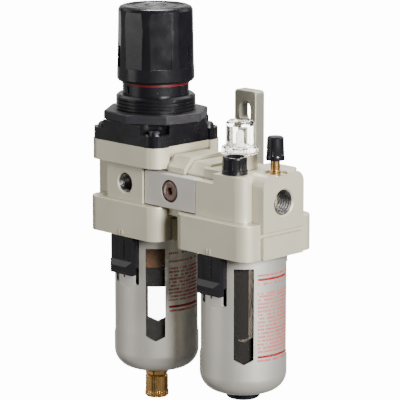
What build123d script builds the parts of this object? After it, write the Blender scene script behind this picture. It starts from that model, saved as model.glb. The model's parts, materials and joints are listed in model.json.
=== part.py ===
from build123d import *
import math
import os

os.makedirs("parts", exist_ok=True)

# ---------------------------------------------------------------------------
# Driving dimensions, in millimetres.
# Frame: origin at the centre of the bracket's slot pattern on the wall plane,
# +X from inlet to outlet, +Y into the wall, +Z up. The port axis is at Z = 0.
# ---------------------------------------------------------------------------
PITCH = 84.0            # between the two unit axes
UNIT_Y = -52.0          # unit axes stand this far in front of the wall
PORT_FACE = 36.6        # unit axis to port face
COLLAR_X = 34.0         # half width of the square collar
COLLAR_Y = 33.2         # half depth of the same
FLANGE_X = 33.2         # half width of the regulator's top flange
FLANGE_Y = 32.5
CORNER_R = 9.0
COLLAR_BOTTOM = -36.0
COLLAR_TOP = -12.2
FLANGE_BOTTOM = 13.5
FLANGE_TOP = 27.5
CORE_R = 26.0
PORT_Y = 19.0           # half width of the port blocks
PORT_TOP = 19.6
PORT_BOTTOM = -18.0
PORT_CHAMFER = 6.75     # top corners of the blocks that face the other unit
PORT_CORNER_R = 8.0     # top corners of the inlet and outlet blocks
LOWER_BLOCK_TOP = -21.3
PLATEAU_TOP = 17.8      # top of the lubricator's middle block
G38_R = 8.33            # major radius of the G 3/8 port threads
G14_R = 6.58            # major radius of the G 1/4 gauge thread
PASSAGE_R = 6.5

CLAMP_X = 24.2          # half length of the clamp plates
CLAMP_Y = 27.8          # outer face of the clamp plates
CLAMP_BACK = 19.6
CLAMP_TOP = 11.3
CLAMP_BOTTOM = -11.8

BOSS_X = 17.4           # half width of the gauge boss
BOSS_Y = 29.3

BOWL_R = 24.9           # outside of the clear bowls
BOWL_WALL = 2.4
BOWL_TOP = -14.4
BOWL_BOTTOM = -129.9
BOWL_CORNER = 12.0
CHAMBER_R = 25.2        # bore in the body that the bowl's neck seals in
NECK_ROOM_R = 27.6      # wider bore for the guard's neck
LUG_ROOM_R = 28.9       # groove in it for the bayonet lugs
LUG_R = 28.6            # outside of the bayonet lugs on the guard's neck
LUG_TOP = -23.9
LUG_BOTTOM = -26.1
GUARD_R = 29.2
GUARD_WALL = 1.7
GUARD_TOP = -36.4
GUARD_NECK_R = 27.3     # outside of the neck above the shoulder
GUARD_NECK_BORE = 25.3
GUARD_NECK_TOP = -22.4
GUARD_BOTTOM = -132.6
GUARD_CORNER = 13.0
WINDOW_W = 13.2
WINDOW_TOP = -44.0
WINDOW_SIDE = -105.6    # where the straight sides end
WINDOW_TIP = -108.9     # tip of the V below them

LATCH_X = 10.8          # half width of the guard latch
LATCH_TOP = -36.5
LATCH_BOTTOM = -62.6
CATCH_TOP = -53.0
LATCH_STEP = -57.5      # below this the latch runs in front of the guard
LATCH_FACE = 33.0
LATCH_BACK = 25.4
CATCH_OUT = 3.2         # the thumb catch stands out this far from the latch
LATCH_SPRING_Y = 27.6
CATCH_X = 7.4           # half width of the catch's front; its ends slope back
SLOT_X = 11.2           # half width of the guard's cut-out for the latch
TAB_X = 7.5             # half width of the guard's tab below the latch
SLOT_END = -68.0

NUT_BOTTOM = 41.9
NUT_TOP = 47.9
NUT_FLATS = 66.8
THREAD_R = 27.1
THREAD_TOP = 57.5
NECK_R = 22.6
NECK_TOP = 72.0
BONNET_BORE = 19.5

KNOB_BOTTOM = 67.7
KNOB_TOP = 118.5
KNOB_R = 26.4
KNOB_TOP_R = 25.5
KNOB_BAND = 9.6
FLUTES = 8
FLUTE_FLOOR = 24.7      # distance of each flat from the axis
FLUTE_ANGLE = 31.0
FLUTE_START = -80.0     # azimuth of one flat's centre, degrees from +X
KEY_FLUTES = (2, 7)     # flats that also carry a key recess
KEY_W = 9.6
KEY_H = 14.0
KEY_DEPTH = 0.9

DOME_X, DOME_Y = -3.6, -0.1      # sight dome, from the lubricator's axis
PLUG_X, PLUG_Y = 8.8, -17.4      # oil fill plug
RELIEF_X, RELIEF_Y = 30.5, -2.0  # relief valve

ARM_X = 10.2            # half width of the bracket arm
ARM_FRONT = -8.4        # its front face; its back is the wall plane
ARM_TOP = 60.0
SLOT_PITCH = 90.0
SLOT_W = 10.6
SLOT_L = 15.0

REG = Plane(origin=(-PITCH / 2, UNIT_Y, 0))
LUB = Plane(origin=(PITCH / 2, UNIT_Y, 0))


def side(plane, x):
    """Plane facing +X at x from a unit's axis; its own x runs along +Y, its own y along +Z."""
    return Plane(origin=plane.origin + Vector(x, 0, 0), x_dir=(0, 1, 0), z_dir=(1, 0, 0))


def front(plane, y):
    """Plane facing -Y at y from a unit's axis; its own x runs along +X, its own y along +Z."""
    return Plane(origin=plane.origin + Vector(0, y, 0), x_dir=(1, 0, 0), z_dir=(0, -1, 0))


def section(plane):
    """Plane for profiles that are turned about a unit's axis: x is the radius, y the height."""
    return Plane(origin=plane.origin, x_dir=(1, 0, 0), z_dir=(0, -1, 0))


def shifted(plane, x, y):
    """The same plane with its origin moved by x and y."""
    return Plane(origin=plane.origin + Vector(x, y, 0))


def disc(plane, z, radius, height):
    """Solid disc standing on z, joined to or cut from whatever is being built."""
    with BuildPart(plane.offset(z), mode=Mode.PRIVATE) as piece:
        Cylinder(radius, height, align=(Align.CENTER, Align.CENTER, Align.MIN))
    return piece.part


def turned(plane, points):
    """Solid of revolution about a unit's axis from radius and height points."""
    with BuildPart(mode=Mode.PRIVATE) as piece:
        with BuildSketch(section(plane)):
            with BuildLine():
                Polyline(*points, close=True)
            make_face()
        revolve(axis=Axis(plane.origin, (0, 0, 1)))
    return piece.part


def ring(plane, z, mean_r, wire_r):
    """O-ring."""
    with BuildPart(plane.offset(z), mode=Mode.PRIVATE) as piece:
        Torus(mean_r, wire_r)
    return piece.part


def coil(plane, z, mean_r, height, turns, wire_r):
    """Compression spring standing on z."""
    with BuildPart(mode=Mode.PRIVATE) as piece:
        with BuildLine(plane.offset(z + wire_r)) as path:
            Helix(pitch=(height - 2 * wire_r) / turns, height=height - 2 * wire_r, radius=mean_r)
        start = path.wires()[0] @ 0
        with BuildSketch(Plane(origin=start, z_dir=path.wires()[0] % 0)):
            Circle(wire_r)
        sweep(path=path.wires()[0], is_frenet=True)
    return piece.part


def save(name, part):
    """Label a finished piece and write it."""
    part.label = name
    export_step(part, f"parts/{name}.step")


def port_profile(grow=0.0):
    """Outline of the blocks that face the other unit, looking along X."""
    y = PORT_Y + grow
    top = PORT_TOP + grow
    cut = PORT_CHAMFER
    with BuildSketch(Plane.XY, mode=Mode.PRIVATE) as outline:
        with BuildLine():
            Polyline(
                (-y, PORT_BOTTOM), (-y, top - cut), (-y + cut, top),
                (y - cut, top), (y, top - cut), (y, PORT_BOTTOM), close=True,
            )
        make_face()
    return outline.sketch


def end_profile():
    """Outline of the inlet and outlet blocks: round top corners."""
    with BuildSketch(Plane.XY, mode=Mode.PRIVATE) as outline:
        with Locations((0, (PORT_TOP + PORT_BOTTOM) / 2)):
            Rectangle(2 * PORT_Y, PORT_TOP - PORT_BOTTOM)
        fillet(outline.vertices().group_by(Axis.Y)[-1], PORT_CORNER_R)
    return outline.sketch


def casting(plane, core_top, end):
    """What the two die-cast bodies share; end is -1 or 1, the side that the pipe joins."""
    with BuildPart(mode=Mode.PRIVATE) as blank:
        with BuildSketch(plane.offset(COLLAR_BOTTOM)):
            RectangleRounded(2 * COLLAR_X, 2 * COLLAR_Y, CORNER_R)
        extrude(amount=COLLAR_TOP - COLLAR_BOTTOM)
        fillet(blank.faces().sort_by(Axis.Z)[-1].edges(), 0.7)
        add(disc(plane, COLLAR_TOP - 1, CORE_R, core_top - COLLAR_TOP + 1))
        with BuildSketch(side(plane, 0)):
            add(port_profile())
        extrude(amount=-end * PORT_FACE)
        with BuildSketch(side(plane, 0)):
            add(end_profile())
        extrude(amount=end * PORT_FACE)
        with BuildSketch(plane.offset(COLLAR_BOTTOM)):
            Rectangle(2 * PORT_FACE, 2 * (PORT_Y - 0.2))
        extrude(amount=LOWER_BLOCK_TOP - COLLAR_BOTTOM)
        # two small index bars above the latch
        with BuildSketch(front(plane, -COLLAR_Y)):
            for x in (-1.2, 1.6):
                with Locations((x, COLLAR_BOTTOM + 2.6)):
                    Rectangle(1.1, 3.2)
        extrude(amount=0.5)
        # bowl chamber: bore for the bowl, wider below for the guard's neck and its lugs
        neck_room = GUARD_NECK_TOP + 0.6 - COLLAR_BOTTOM
        add(disc(plane, COLLAR_BOTTOM - 1, NECK_ROOM_R, neck_room + 1), mode=Mode.SUBTRACT)
        add(disc(plane, COLLAR_BOTTOM, CHAMBER_R, BOWL_TOP + 0.4 - COLLAR_BOTTOM), mode=Mode.SUBTRACT)
        add(disc(plane, LUG_BOTTOM - 0.3, LUG_ROOM_R, LUG_TOP - LUG_BOTTOM + 0.8), mode=Mode.SUBTRACT)
    return blank.part


# ---------------------------------------------------------------------------
# Filter regulator: body
# ---------------------------------------------------------------------------
FLANGE_SLOT_TOP = 22.4
FLANGE_RECESS = 1.6
CHAMBER_FLOOR = 20.5
SEAT_Z = 2.0

with BuildPart() as regulator_body:
    add(casting(REG, FLANGE_BOTTOM, -1))
    with BuildSketch(REG.offset(FLANGE_BOTTOM)):
        RectangleRounded(2 * FLANGE_X, 2 * FLANGE_Y, CORNER_R)
    extrude(amount=FLANGE_TOP - FLANGE_BOTTOM)
    # gauge boss
    with BuildSketch(REG.offset(COLLAR_TOP)):
        with Locations((0, -BOSS_Y / 2)):
            Rectangle(2 * BOSS_X, BOSS_Y)
    extrude(amount=FLANGE_BOTTOM - COLLAR_TOP)
    # the flange is thin above the port blocks
    with BuildSketch(REG.offset(FLANGE_BOTTOM)):
        for x in (-1, 1):
            with Locations((x * FLANGE_X, 0)):
                Rectangle(10, 2 * PORT_Y + 0.6)
    extrude(amount=FLANGE_SLOT_TOP - FLANGE_BOTTOM, mode=Mode.SUBTRACT)
    with BuildSketch(REG.offset(FLANGE_SLOT_TOP)):
        for x in (-1, 1):
            with Locations((x * FLANGE_X, 0)):
                Rectangle(2 * FLANGE_RECESS, 2 * PORT_Y + 0.6)
    extrude(amount=FLANGE_TOP - FLANGE_SLOT_TOP, mode=Mode.SUBTRACT)
    with BuildSketch(side(REG, -PORT_FACE)):
        add(end_profile())
    extrude(amount=PORT_FACE - CORE_R)
    with BuildSketch(side(REG, CORE_R)):
        add(port_profile())
    extrude(amount=PORT_FACE - CORE_R)
    # diaphragm chamber, outlet chamber, valve seat and valve chamber
    add(disc(REG, CHAMBER_FLOOR, 22.0, 10), mode=Mode.SUBTRACT)
    add(disc(REG, SEAT_Z + 3, 9.0, 20), mode=Mode.SUBTRACT)
    add(disc(REG, SEAT_Z - 1, 5.5, 6), mode=Mode.SUBTRACT)
    add(disc(REG, -15, 8.6, 15 + SEAT_Z), mode=Mode.SUBTRACT)
    # inlet port and its way down outside the filter element
    with BuildSketch(side(REG, -PORT_FACE)):
        Circle(G38_R)
    extrude(amount=14, mode=Mode.SUBTRACT)
    with BuildSketch(side(REG, -PORT_FACE)):
        Circle(PASSAGE_R)
    extrude(amount=PORT_FACE - 12.5, mode=Mode.SUBTRACT)
    add(disc(shifted(REG, -18.5, 0), -15, 5.5, 15), mode=Mode.SUBTRACT)
    # outlet port and its way down from the diaphragm chamber
    with BuildSketch(side(REG, PORT_FACE - 14)):
        Circle(G38_R)
    extrude(amount=15, mode=Mode.SUBTRACT)
    with BuildSketch(side(REG, 12.5)):
        Circle(PASSAGE_R)
    extrude(amount=12, mode=Mode.SUBTRACT)
    add(disc(shifted(REG, 16.5, 0), 0, 4.5, 22), mode=Mode.SUBTRACT)
    # gauge port and its sensing hole
    with BuildSketch(front(REG, -BOSS_Y)):
        Circle(G14_R)
    extrude(amount=-12, mode=Mode.SUBTRACT)
    add(disc(shifted(REG, 0, -18.6), 0, 1.6, 22), mode=Mode.SUBTRACT)
    chamfer(
        regulator_body.edges().filter_by(GeomType.CIRCLE).filter_by(
            lambda e: abs(e.radius - G14_R) < 0.01 and abs(e.center().Y - (UNIT_Y - BOSS_Y)) < 0.01), 0.9)
    chamfer(
        regulator_body.edges().filter_by(GeomType.CIRCLE).filter_by(
            lambda e: abs(e.radius - G38_R) < 0.01
            and abs(abs(e.center().X + PITCH / 2) - PORT_FACE) < 0.01), 1.0)
    # threaded holes for the bonnet screws
    with Locations(REG.offset(FLANGE_TOP)):
        with GridLocations(50, 49.4, 2, 2):
            Hole(2.5, 14)
save("regulator_body", regulator_body.part)

# ---------------------------------------------------------------------------
# Filter regulator: bonnet, nut, screws
# ---------------------------------------------------------------------------
SCREW_FLOOR = 35.5
SCREW_X = 25.0
SCREW_Y = 24.7
MARK_TURN = -98.0       # azimuth of the mark on the neck, degrees from +X
POCKET_W = 19.6         # screw pockets, measured across the corner
POCKET_DEEP = 12.4
BONNET_RECESS = 2.3
THREAD_CRESTS = 5
THREAD_PITCH = 2.3
THREAD_DEPTH = 1.1

thread_points = [(0.0, NUT_BOTTOM - 1), (THREAD_R, NUT_BOTTOM - 1), (THREAD_R, 45.6)]
for crest in range(THREAD_CRESTS):
    z = 45.6 + crest * THREAD_PITCH
    thread_points.append((THREAD_R - THREAD_DEPTH, z + 0.35))
    thread_points.append((THREAD_R - THREAD_DEPTH, z + 0.75))
    thread_points.append((THREAD_R, z + 1.15))
    thread_points.append((THREAD_R, z + THREAD_PITCH))
thread_points.extend([(THREAD_R - 1.6, THREAD_TOP + 1.0), (0.0, THREAD_TOP + 1.0)])

with BuildPart() as bonnet:
    with BuildSketch(REG.offset(FLANGE_TOP)):
        RectangleRounded(2 * FLANGE_X - 0.8, 2 * FLANGE_Y - 0.8, CORNER_R)
    extrude(amount=NUT_BOTTOM - 0.1 - FLANGE_TOP)
    fillet(bonnet.faces().sort_by(Axis.Z)[-1].edges(), 0.8)
    # shallow recess above each port block
    with BuildSketch(REG.offset(FLANGE_TOP - 1)):
        for x in (-1, 1):
            with Locations((x * FLANGE_X, 0)):
                Rectangle(2 * BONNET_RECESS, 2 * PORT_Y + 0.6)
    extrude(amount=30, mode=Mode.SUBTRACT)
    # corner pockets, open to the outside above the screws' floor
    with BuildSketch(REG.offset(SCREW_FLOOR)):
        for x in (-1, 1):
            for y in (-1, 1):
                with Locations((x * SCREW_X, y * SCREW_Y)):
                    SlotOverall(POCKET_W, POCKET_DEEP, rotation=-x * y * 45)
                with Locations((x * (SCREW_X + 5), y * (SCREW_Y + 5))):
                    Rectangle(POCKET_W, POCKET_DEEP, rotation=-x * y * 45)
    extrude(amount=10, mode=Mode.SUBTRACT)
    add(turned(REG, thread_points))
    add(disc(REG, THREAD_TOP, NECK_R, NECK_TOP - THREAD_TOP))
    fillet(bonnet.faces().sort_by(Axis.Z)[-1].edges(), 1.0)
    # direction mark pressed into the neck
    mark = Vector(math.cos(math.radians(MARK_TURN)), math.sin(math.radians(MARK_TURN)), 0)
    with BuildSketch(Plane(origin=REG.origin + mark * (NECK_R - 0.7), x_dir=Vector(-mark.Y, mark.X, 0), z_dir=mark)):
        with BuildLine():
            Polyline((-1.9, 65.0), (1.9, 65.0), (0.6, 59.6), (-0.6, 59.6), close=True)
        make_face()
    extrude(amount=2, mode=Mode.SUBTRACT)
    # spring chamber, diaphragm recess, spindle hole, screw holes, breather hole
    add(disc(REG, FLANGE_TOP - 1, BONNET_BORE, 68 - FLANGE_TOP + 1), mode=Mode.SUBTRACT)
    add(disc(REG, FLANGE_TOP - 1, 27.4, 2.6), mode=Mode.SUBTRACT)
    add(disc(REG, 60, 5.1, 20), mode=Mode.SUBTRACT)
    with Locations(REG.offset(SCREW_FLOOR)):
        with GridLocations(2 * SCREW_X, 2 * SCREW_Y, 2, 2):
            Hole(2.7, 10)
    with BuildSketch(side(REG, 0)):
        with Locations((0, 62)):
            Circle(1.4)
    extrude(amount=-30, mode=Mode.SUBTRACT)
save("bonnet", bonnet.part)

with BuildPart() as bonnet_screws:
    for x in (-1, 1):
        for y in (-1, 1):
            spot = shifted(REG, x * SCREW_X, y * SCREW_Y)
            add(turned(spot, [
                (0, 17.5), (2.0, 17.5), (2.4, 18.2), (2.4, SCREW_FLOOR), (4.3, SCREW_FLOOR),
                (4.3, SCREW_FLOOR + 1.9), (3.2, SCREW_FLOOR + 3.1), (0, SCREW_FLOOR + 3.3),
            ]))
            with BuildSketch(spot.offset(SCREW_FLOOR + 3.4)):
                Rectangle(4.4, 1.0)
                Rectangle(1.0, 4.4)
            extrude(amount=-1.7, mode=Mode.SUBTRACT)
save("bonnet_screws", bonnet_screws.part)

with BuildPart() as panel_nut:
    with BuildSketch(REG.offset(NUT_BOTTOM)):
        RegularPolygon(NUT_FLATS / 2, 8, major_radius=False, rotation=12.9)
    extrude(amount=NUT_TOP - NUT_BOTTOM)
    chamfer(panel_nut.faces().sort_by(Axis.Z)[-1].edges(), 0.7)
    add(disc(REG, NUT_BOTTOM - 1, THREAD_R + 0.08, 10), mode=Mode.SUBTRACT)
save("panel_nut", panel_nut.part)

# ---------------------------------------------------------------------------
# Filter regulator: knob, spindle and range spring
# ---------------------------------------------------------------------------
KNOB_BORE = 23.4
LOCK_RING_R = 22.95

with BuildPart() as lock_ring:
    add(turned(REG, [
        (NECK_R, KNOB_BOTTOM - 2.3), (LOCK_RING_R, KNOB_BOTTOM - 2.3),
        (LOCK_RING_R, KNOB_BOTTOM - 0.6), (NECK_R, KNOB_BOTTOM - 0.6),
    ]))
save("lock_ring", lock_ring.part)

with BuildPart() as adjusting_knob:
    add(turned(REG, [
        (20.6, KNOB_BOTTOM), (25.4, KNOB_BOTTOM), (KNOB_R, KNOB_BOTTOM + 1.4),
        (KNOB_TOP_R, KNOB_TOP - 3.2), (KNOB_TOP_R - 1.1, KNOB_TOP - 1.0), (KNOB_TOP_R - 3.3, KNOB_TOP),
        (19.0, KNOB_TOP), (19.0, KNOB_TOP - 1.4), (0, KNOB_TOP - 1.4), (0, KNOB_BOTTOM),
    ]))
    # flats between the grip ridges, two of them with a key recess at the foot
    for flute in range(FLUTES):
        turn = FLUTE_START + flute * 360 / FLUTES
        out = Vector(math.cos(math.radians(turn)), math.sin(math.radians(turn)), 0)
        face = Plane(origin=REG.origin + out * FLUTE_FLOOR, x_dir=Vector(-out.Y, out.X, 0), z_dir=out)
        with BuildSketch(face):
            with Locations((0, (KNOB_BOTTOM + KNOB_BAND + KNOB_TOP - 3.0) / 2)):
                Rectangle(
                    2 * KNOB_R * math.sin(math.radians(FLUTE_ANGLE / 2)),
                    KNOB_TOP - 3.0 - KNOB_BOTTOM - KNOB_BAND)
        extrude(amount=6, mode=Mode.SUBTRACT)
        if flute in KEY_FLUTES:
            with BuildSketch(face.offset(-KEY_DEPTH)):
                with Locations((0, KNOB_BOTTOM + KNOB_BAND + KEY_H / 2)):
                    Rectangle(KEY_W, KEY_H)
            extrude(amount=6, mode=Mode.SUBTRACT)
    # hollow skirt over the bonnet's neck, and the hub that turns the spindle
    add(disc(REG, KNOB_BOTTOM - 1, KNOB_BORE, 33 + 1), mode=Mode.SUBTRACT)
    add(disc(REG, KNOB_BOTTOM + 10, 8.5, 30))
    add(disc(REG, KNOB_BOTTOM + 9, 4.06, 34), mode=Mode.SUBTRACT)
save("adjusting_knob", adjusting_knob.part)

with BuildPart() as knob_cap:
    add(turned(REG, [
        (0, KNOB_TOP - 1.3), (18.9, KNOB_TOP - 1.3), (18.9, KNOB_TOP - 0.4), (16.8, KNOB_TOP - 0.4),
        (16.4, KNOB_TOP - 0.8), (14.8, KNOB_TOP - 0.8), (14.4, KNOB_TOP - 0.4), (8.0, KNOB_TOP - 0.4),
        (7.6, KNOB_TOP - 0.8), (6.4, KNOB_TOP - 0.8), (6.0, KNOB_TOP - 0.4), (0, KNOB_TOP - 0.4),
    ]))
save("knob_cap", knob_cap.part)

with BuildPart() as adjusting_screw:
    add(turned(REG, [
        (0, 40.0), (4.2, 40.0), (4.95, 41.0), (4.95, 64.4), (9.0, 64.4), (9.0, 67.9),
        (5.0, 67.9), (5.0, KNOB_BOTTOM + 5.5), (4.0, KNOB_BOTTOM + 6.0),
        (4.0, 100.0), (3.4, 101.0), (0, 101.0),
    ]))
save("adjusting_screw", adjusting_screw.part)

SPRING_SEAT_Z = 52.0
PLATE_TOP = 33.0

with BuildPart() as spring_seat:
    add(turned(REG, [
        (5.02, SPRING_SEAT_Z - 4), (9.5, SPRING_SEAT_Z - 4), (9.5, SPRING_SEAT_Z), (18.8, SPRING_SEAT_Z),
        (18.8, SPRING_SEAT_Z + 3), (9.5, SPRING_SEAT_Z + 6), (5.02, SPRING_SEAT_Z + 6),
    ]))
save("spring_seat", spring_seat.part)

with BuildPart() as regulating_spring:
    add(coil(REG, PLATE_TOP, 14.0, SPRING_SEAT_Z - PLATE_TOP, 3.5, 1.6))
save("regulating_spring", regulating_spring.part)

with BuildPart() as diaphragm:
    add(disc(REG, FLANGE_TOP, 27.2, 1.5))
save("diaphragm", diaphragm.part)

with BuildPart() as diaphragm_plate:
    add(turned(REG, [
        (0, 29.05), (18.6, 29.05), (18.6, PLATE_TOP + 1), (17.4, PLATE_TOP + 1), (17.0, PLATE_TOP),
        (10.5, PLATE_TOP), (9.5, PLATE_TOP + 2), (4.0, PLATE_TOP + 2), (4.0, 31.0), (0, 31.0),
    ]))
save("diaphragm_plate", diaphragm_plate.part)

with BuildPart() as main_valve:
    add(turned(REG, [
        (0, -11.5), (2.5, -11.5), (2.5, -5.0), (6.5, -5.0), (7.6, -3.5), (7.6, SEAT_Z - 1.05),
        (3.0, SEAT_Z - 1.05), (2.4, SEAT_Z), (2.4, 26.4), (1.2, 27.4), (0, 27.4),
    ]))
save("main_valve", main_valve.part)

with BuildPart() as valve_guide:
    add(turned(REG, [
        (2.6, -19.0), (12.3, -19.0), (12.3, -22.0), (20.0, -25.0), (20.0, -27.0), (11.0, -27.0),
        (11.0, -36.0), (16.6, -36.0), (16.6, -33.0), (21.5, -30.0), (22.0, -22.0), (14.0, -14.1),
        (8.5, -14.1), (8.5, -11.0), (5.6, -11.0), (5.6, -15.0), (2.6, -15.0),
    ]))
save("valve_guide", valve_guide.part)

with BuildPart() as valve_spring:
    add(coil(REG, -15.0, 4.2, 10.0, 4, 0.6))
save("valve_spring", valve_spring.part)

# ---------------------------------------------------------------------------
# Filter element and baffle
# ---------------------------------------------------------------------------
ELEMENT_TOP = -36.1
ELEMENT_BOTTOM = -60.2
BAFFLE_BOTTOM = -73.0

with BuildPart() as filter_element:
    add(disc(REG, ELEMENT_BOTTOM, 16.2, ELEMENT_TOP - ELEMENT_BOTTOM))
    add(disc(REG, ELEMENT_BOTTOM - 1, 11.5, 30), mode=Mode.SUBTRACT)
save("filter_element", filter_element.part)

with BuildPart() as baffle:
    add(turned(REG, [
        (0, ELEMENT_BOTTOM - 3), (0, -32.0), (3.0, -32.0), (3.0, ELEMENT_BOTTOM - 0.1),
        (18.0, ELEMENT_BOTTOM - 0.1), (18.8, ELEMENT_BOTTOM - 1.2), (18.8, BAFFLE_BOTTOM),
        (17.0, BAFFLE_BOTTOM), (17.0, ELEMENT_BOTTOM - 3),
    ]))
save("baffle", baffle.part)


# ---------------------------------------------------------------------------
# Bowls, guards and latches, the same on both units
# ---------------------------------------------------------------------------
def bowl(plane, hole_r):
    """Clear bowl with a rounded bottom and a hole in it."""
    inner = BOWL_R - BOWL_WALL
    with BuildPart(mode=Mode.PRIVATE) as piece:
        with BuildSketch(section(plane)):
            with BuildLine():
                bend = BOWL_CORNER
                Polyline((0, BOWL_BOTTOM), (0, BOWL_TOP), (BOWL_R, BOWL_TOP), (BOWL_R, BOWL_BOTTOM + bend))
                RadiusArc((BOWL_R, BOWL_BOTTOM + bend), (BOWL_R - bend, BOWL_BOTTOM), bend)
                Line((BOWL_R - bend, BOWL_BOTTOM), (0, BOWL_BOTTOM))
            make_face()
            with BuildLine():
                floor = BOWL_BOTTOM + BOWL_WALL
                bend = BOWL_CORNER - BOWL_WALL
                Polyline((0, floor), (0, BOWL_TOP), (inner, BOWL_TOP), (inner, floor + bend))
                RadiusArc((inner, floor + bend), (inner - bend, floor), bend)
                Line((inner - bend, floor), (0, floor))
            make_face(mode=Mode.SUBTRACT)
        revolve(axis=Axis(plane.origin, (0, 0, 1)))
        add(disc(plane, BOWL_BOTTOM - 1, hole_r, 8), mode=Mode.SUBTRACT)
        # groove for the O-ring
        add(turned(plane, [(22.9, -19.5), (26, -19.5), (26, -16.6), (22.9, -16.6)]), mode=Mode.SUBTRACT)
    return piece.part


def guard(plane, hole_r):
    """Sheet metal guard: neck with bayonet lugs, four windows and the latch's cut-out."""
    outer = GUARD_R
    inner = GUARD_R - GUARD_WALL
    low = GUARD_CORNER
    with BuildPart(mode=Mode.PRIVATE) as piece:
        with BuildSketch(section(plane)):
            with BuildLine():
                Polyline(
                    (0, GUARD_BOTTOM), (0, GUARD_NECK_TOP), (GUARD_NECK_R, GUARD_NECK_TOP),
                    (GUARD_NECK_R, LUG_TOP), (LUG_R, LUG_TOP), (LUG_R, LUG_BOTTOM),
                    (GUARD_NECK_R, LUG_BOTTOM), (GUARD_NECK_R, GUARD_TOP), (outer, GUARD_TOP),
                    (outer, GUARD_BOTTOM + low))
                RadiusArc((outer, GUARD_BOTTOM + low), (outer - low, GUARD_BOTTOM), low)
                Line((outer - low, GUARD_BOTTOM), (0, GUARD_BOTTOM))
            make_face()
            with BuildLine():
                floor = GUARD_BOTTOM + GUARD_WALL
                bend = low - GUARD_WALL
                Polyline(
                    (0, floor), (0, GUARD_NECK_TOP), (GUARD_NECK_BORE, GUARD_NECK_TOP),
                    (GUARD_NECK_BORE, GUARD_TOP - 3), (inner, GUARD_TOP - 5), (inner, floor + bend))
                RadiusArc((inner, floor + bend), (inner - bend, floor), bend)
                Line((inner - bend, floor), (0, floor))
            make_face(mode=Mode.SUBTRACT)
        revolve(axis=Axis(plane.origin, (0, 0, 1)))
        add(disc(plane, GUARD_BOTTOM - 1, hole_r, 8), mode=Mode.SUBTRACT)
        # ways between the bayonet lugs
        for turn in (45, 135, 225, 315):
            out = Vector(math.cos(math.radians(turn)), math.sin(math.radians(turn)), 0)
            face = Plane(origin=plane.origin + out * GUARD_NECK_R, x_dir=Vector(-out.Y, out.X, 0), z_dir=out)
            with BuildSketch(face):
                with Locations((0, (LUG_TOP + LUG_BOTTOM) / 2)):
                    Rectangle(22, LUG_TOP - LUG_BOTTOM + 0.8)
            extrude(amount=4, mode=Mode.SUBTRACT)
            with BuildSketch(Plane(origin=plane.origin, x_dir=Vector(-out.Y, out.X, 0), z_dir=out)):
                half = WINDOW_W / 2
                with BuildLine():
                    Polyline(
                        (-half, WINDOW_SIDE), (-half, WINDOW_TOP), (half, WINDOW_TOP),
                        (half, WINDOW_SIDE), (0, WINDOW_TIP), close=True)
                make_face()
            extrude(amount=40, mode=Mode.SUBTRACT)
        # cut-out for the latch, with two longer slots that free a tab
        with BuildSketch(front(plane, 0)):
            with Locations((0, (LATCH_BOTTOM + GUARD_TOP) / 2)):
                Rectangle(2 * SLOT_X, GUARD_TOP - LATCH_BOTTOM)
            for x in (-1, 1):
                with Locations((x * (SLOT_X + TAB_X) / 2, (LATCH_BOTTOM + SLOT_END) / 2 + 1)):
                    RectangleRounded(SLOT_X - TAB_X, LATCH_BOTTOM - SLOT_END + 6, 1.6)
        extrude(amount=40, mode=Mode.SUBTRACT)
        # pressed seat below the latch, and the hole for the spring's peg
        with BuildSketch(front(plane, -GUARD_R + 0.7)):
            with Locations((0, -67)):
                RectangleRounded(2 * TAB_X + 12, 9.5, 2.0)
        extrude(amount=10, mode=Mode.SUBTRACT)
        with BuildSketch(front(plane, 0)):
            with Locations((-1.6, -65.2)):
                Circle(0.9)
        extrude(amount=40, mode=Mode.SUBTRACT)
    return piece.part


def catch(plane):
    """Thumb catch: a wedge with a pointed lower edge and ends that slope back."""
    root = -LATCH_FACE + 1
    tip = -LATCH_FACE - CATCH_OUT
    with BuildPart(mode=Mode.PRIVATE) as piece:
        with BuildSketch(side(plane, -LATCH_X)):
            with BuildLine():
                Polyline(
                    (root, CATCH_TOP), (-LATCH_FACE, CATCH_TOP), (tip, CATCH_TOP - 3.4), (tip, CATCH_TOP - 6.6),
                    (-LATCH_FACE - 0.6, LATCH_BOTTOM), (root, LATCH_BOTTOM), close=True)
            make_face()
        extrude(amount=2 * LATCH_X)
        with BuildSketch(plane.offset(LATCH_BOTTOM)):
            with BuildLine():
                Polyline(
                    (-LATCH_X, root), (-LATCH_X, -LATCH_FACE), (-CATCH_X, tip), (CATCH_X, tip),
                    (LATCH_X, -LATCH_FACE), (LATCH_X, root), close=True)
            make_face()
        extrude(amount=20, mode=Mode.INTERSECT)
    return piece.part


def latch(plane):
    """Sliding latch with a thumb catch and a pocket for its spring."""
    with BuildPart(mode=Mode.PRIVATE) as piece:
        with BuildSketch(front(plane, -LATCH_BACK)):
            with Locations((0, (LATCH_TOP + LATCH_STEP) / 2)):
                Rectangle(2 * LATCH_X, LATCH_TOP - LATCH_STEP)
        extrude(amount=LATCH_FACE - LATCH_BACK)
        with BuildSketch(front(plane, -GUARD_R - 0.3)):
            with Locations((0, (LATCH_TOP + LATCH_BOTTOM) / 2)):
                Rectangle(2 * LATCH_X, LATCH_TOP - LATCH_BOTTOM)
        extrude(amount=LATCH_FACE - GUARD_R - 0.3)
        chamfer(piece.edges().filter_by(Axis.Z).sort_by(Axis.Y)[:2], 0.6)
        # ridge down the middle of the face
        with BuildSketch(front(plane, -LATCH_FACE)):
            with Locations((0, (LATCH_TOP + CATCH_TOP) / 2)):
                Rectangle(5.2, LATCH_TOP - CATCH_TOP - 3)
        extrude(amount=0.6)
        add(catch(plane))
        # pocket for the spring
        add(disc(shifted(plane, 0, -LATCH_SPRING_Y), -60, 1.7, 12), mode=Mode.SUBTRACT)
        # clear of the round bowl behind
        add(disc(plane, -70, BOWL_R + 0.35, 40), mode=Mode.SUBTRACT)
    return piece.part


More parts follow.
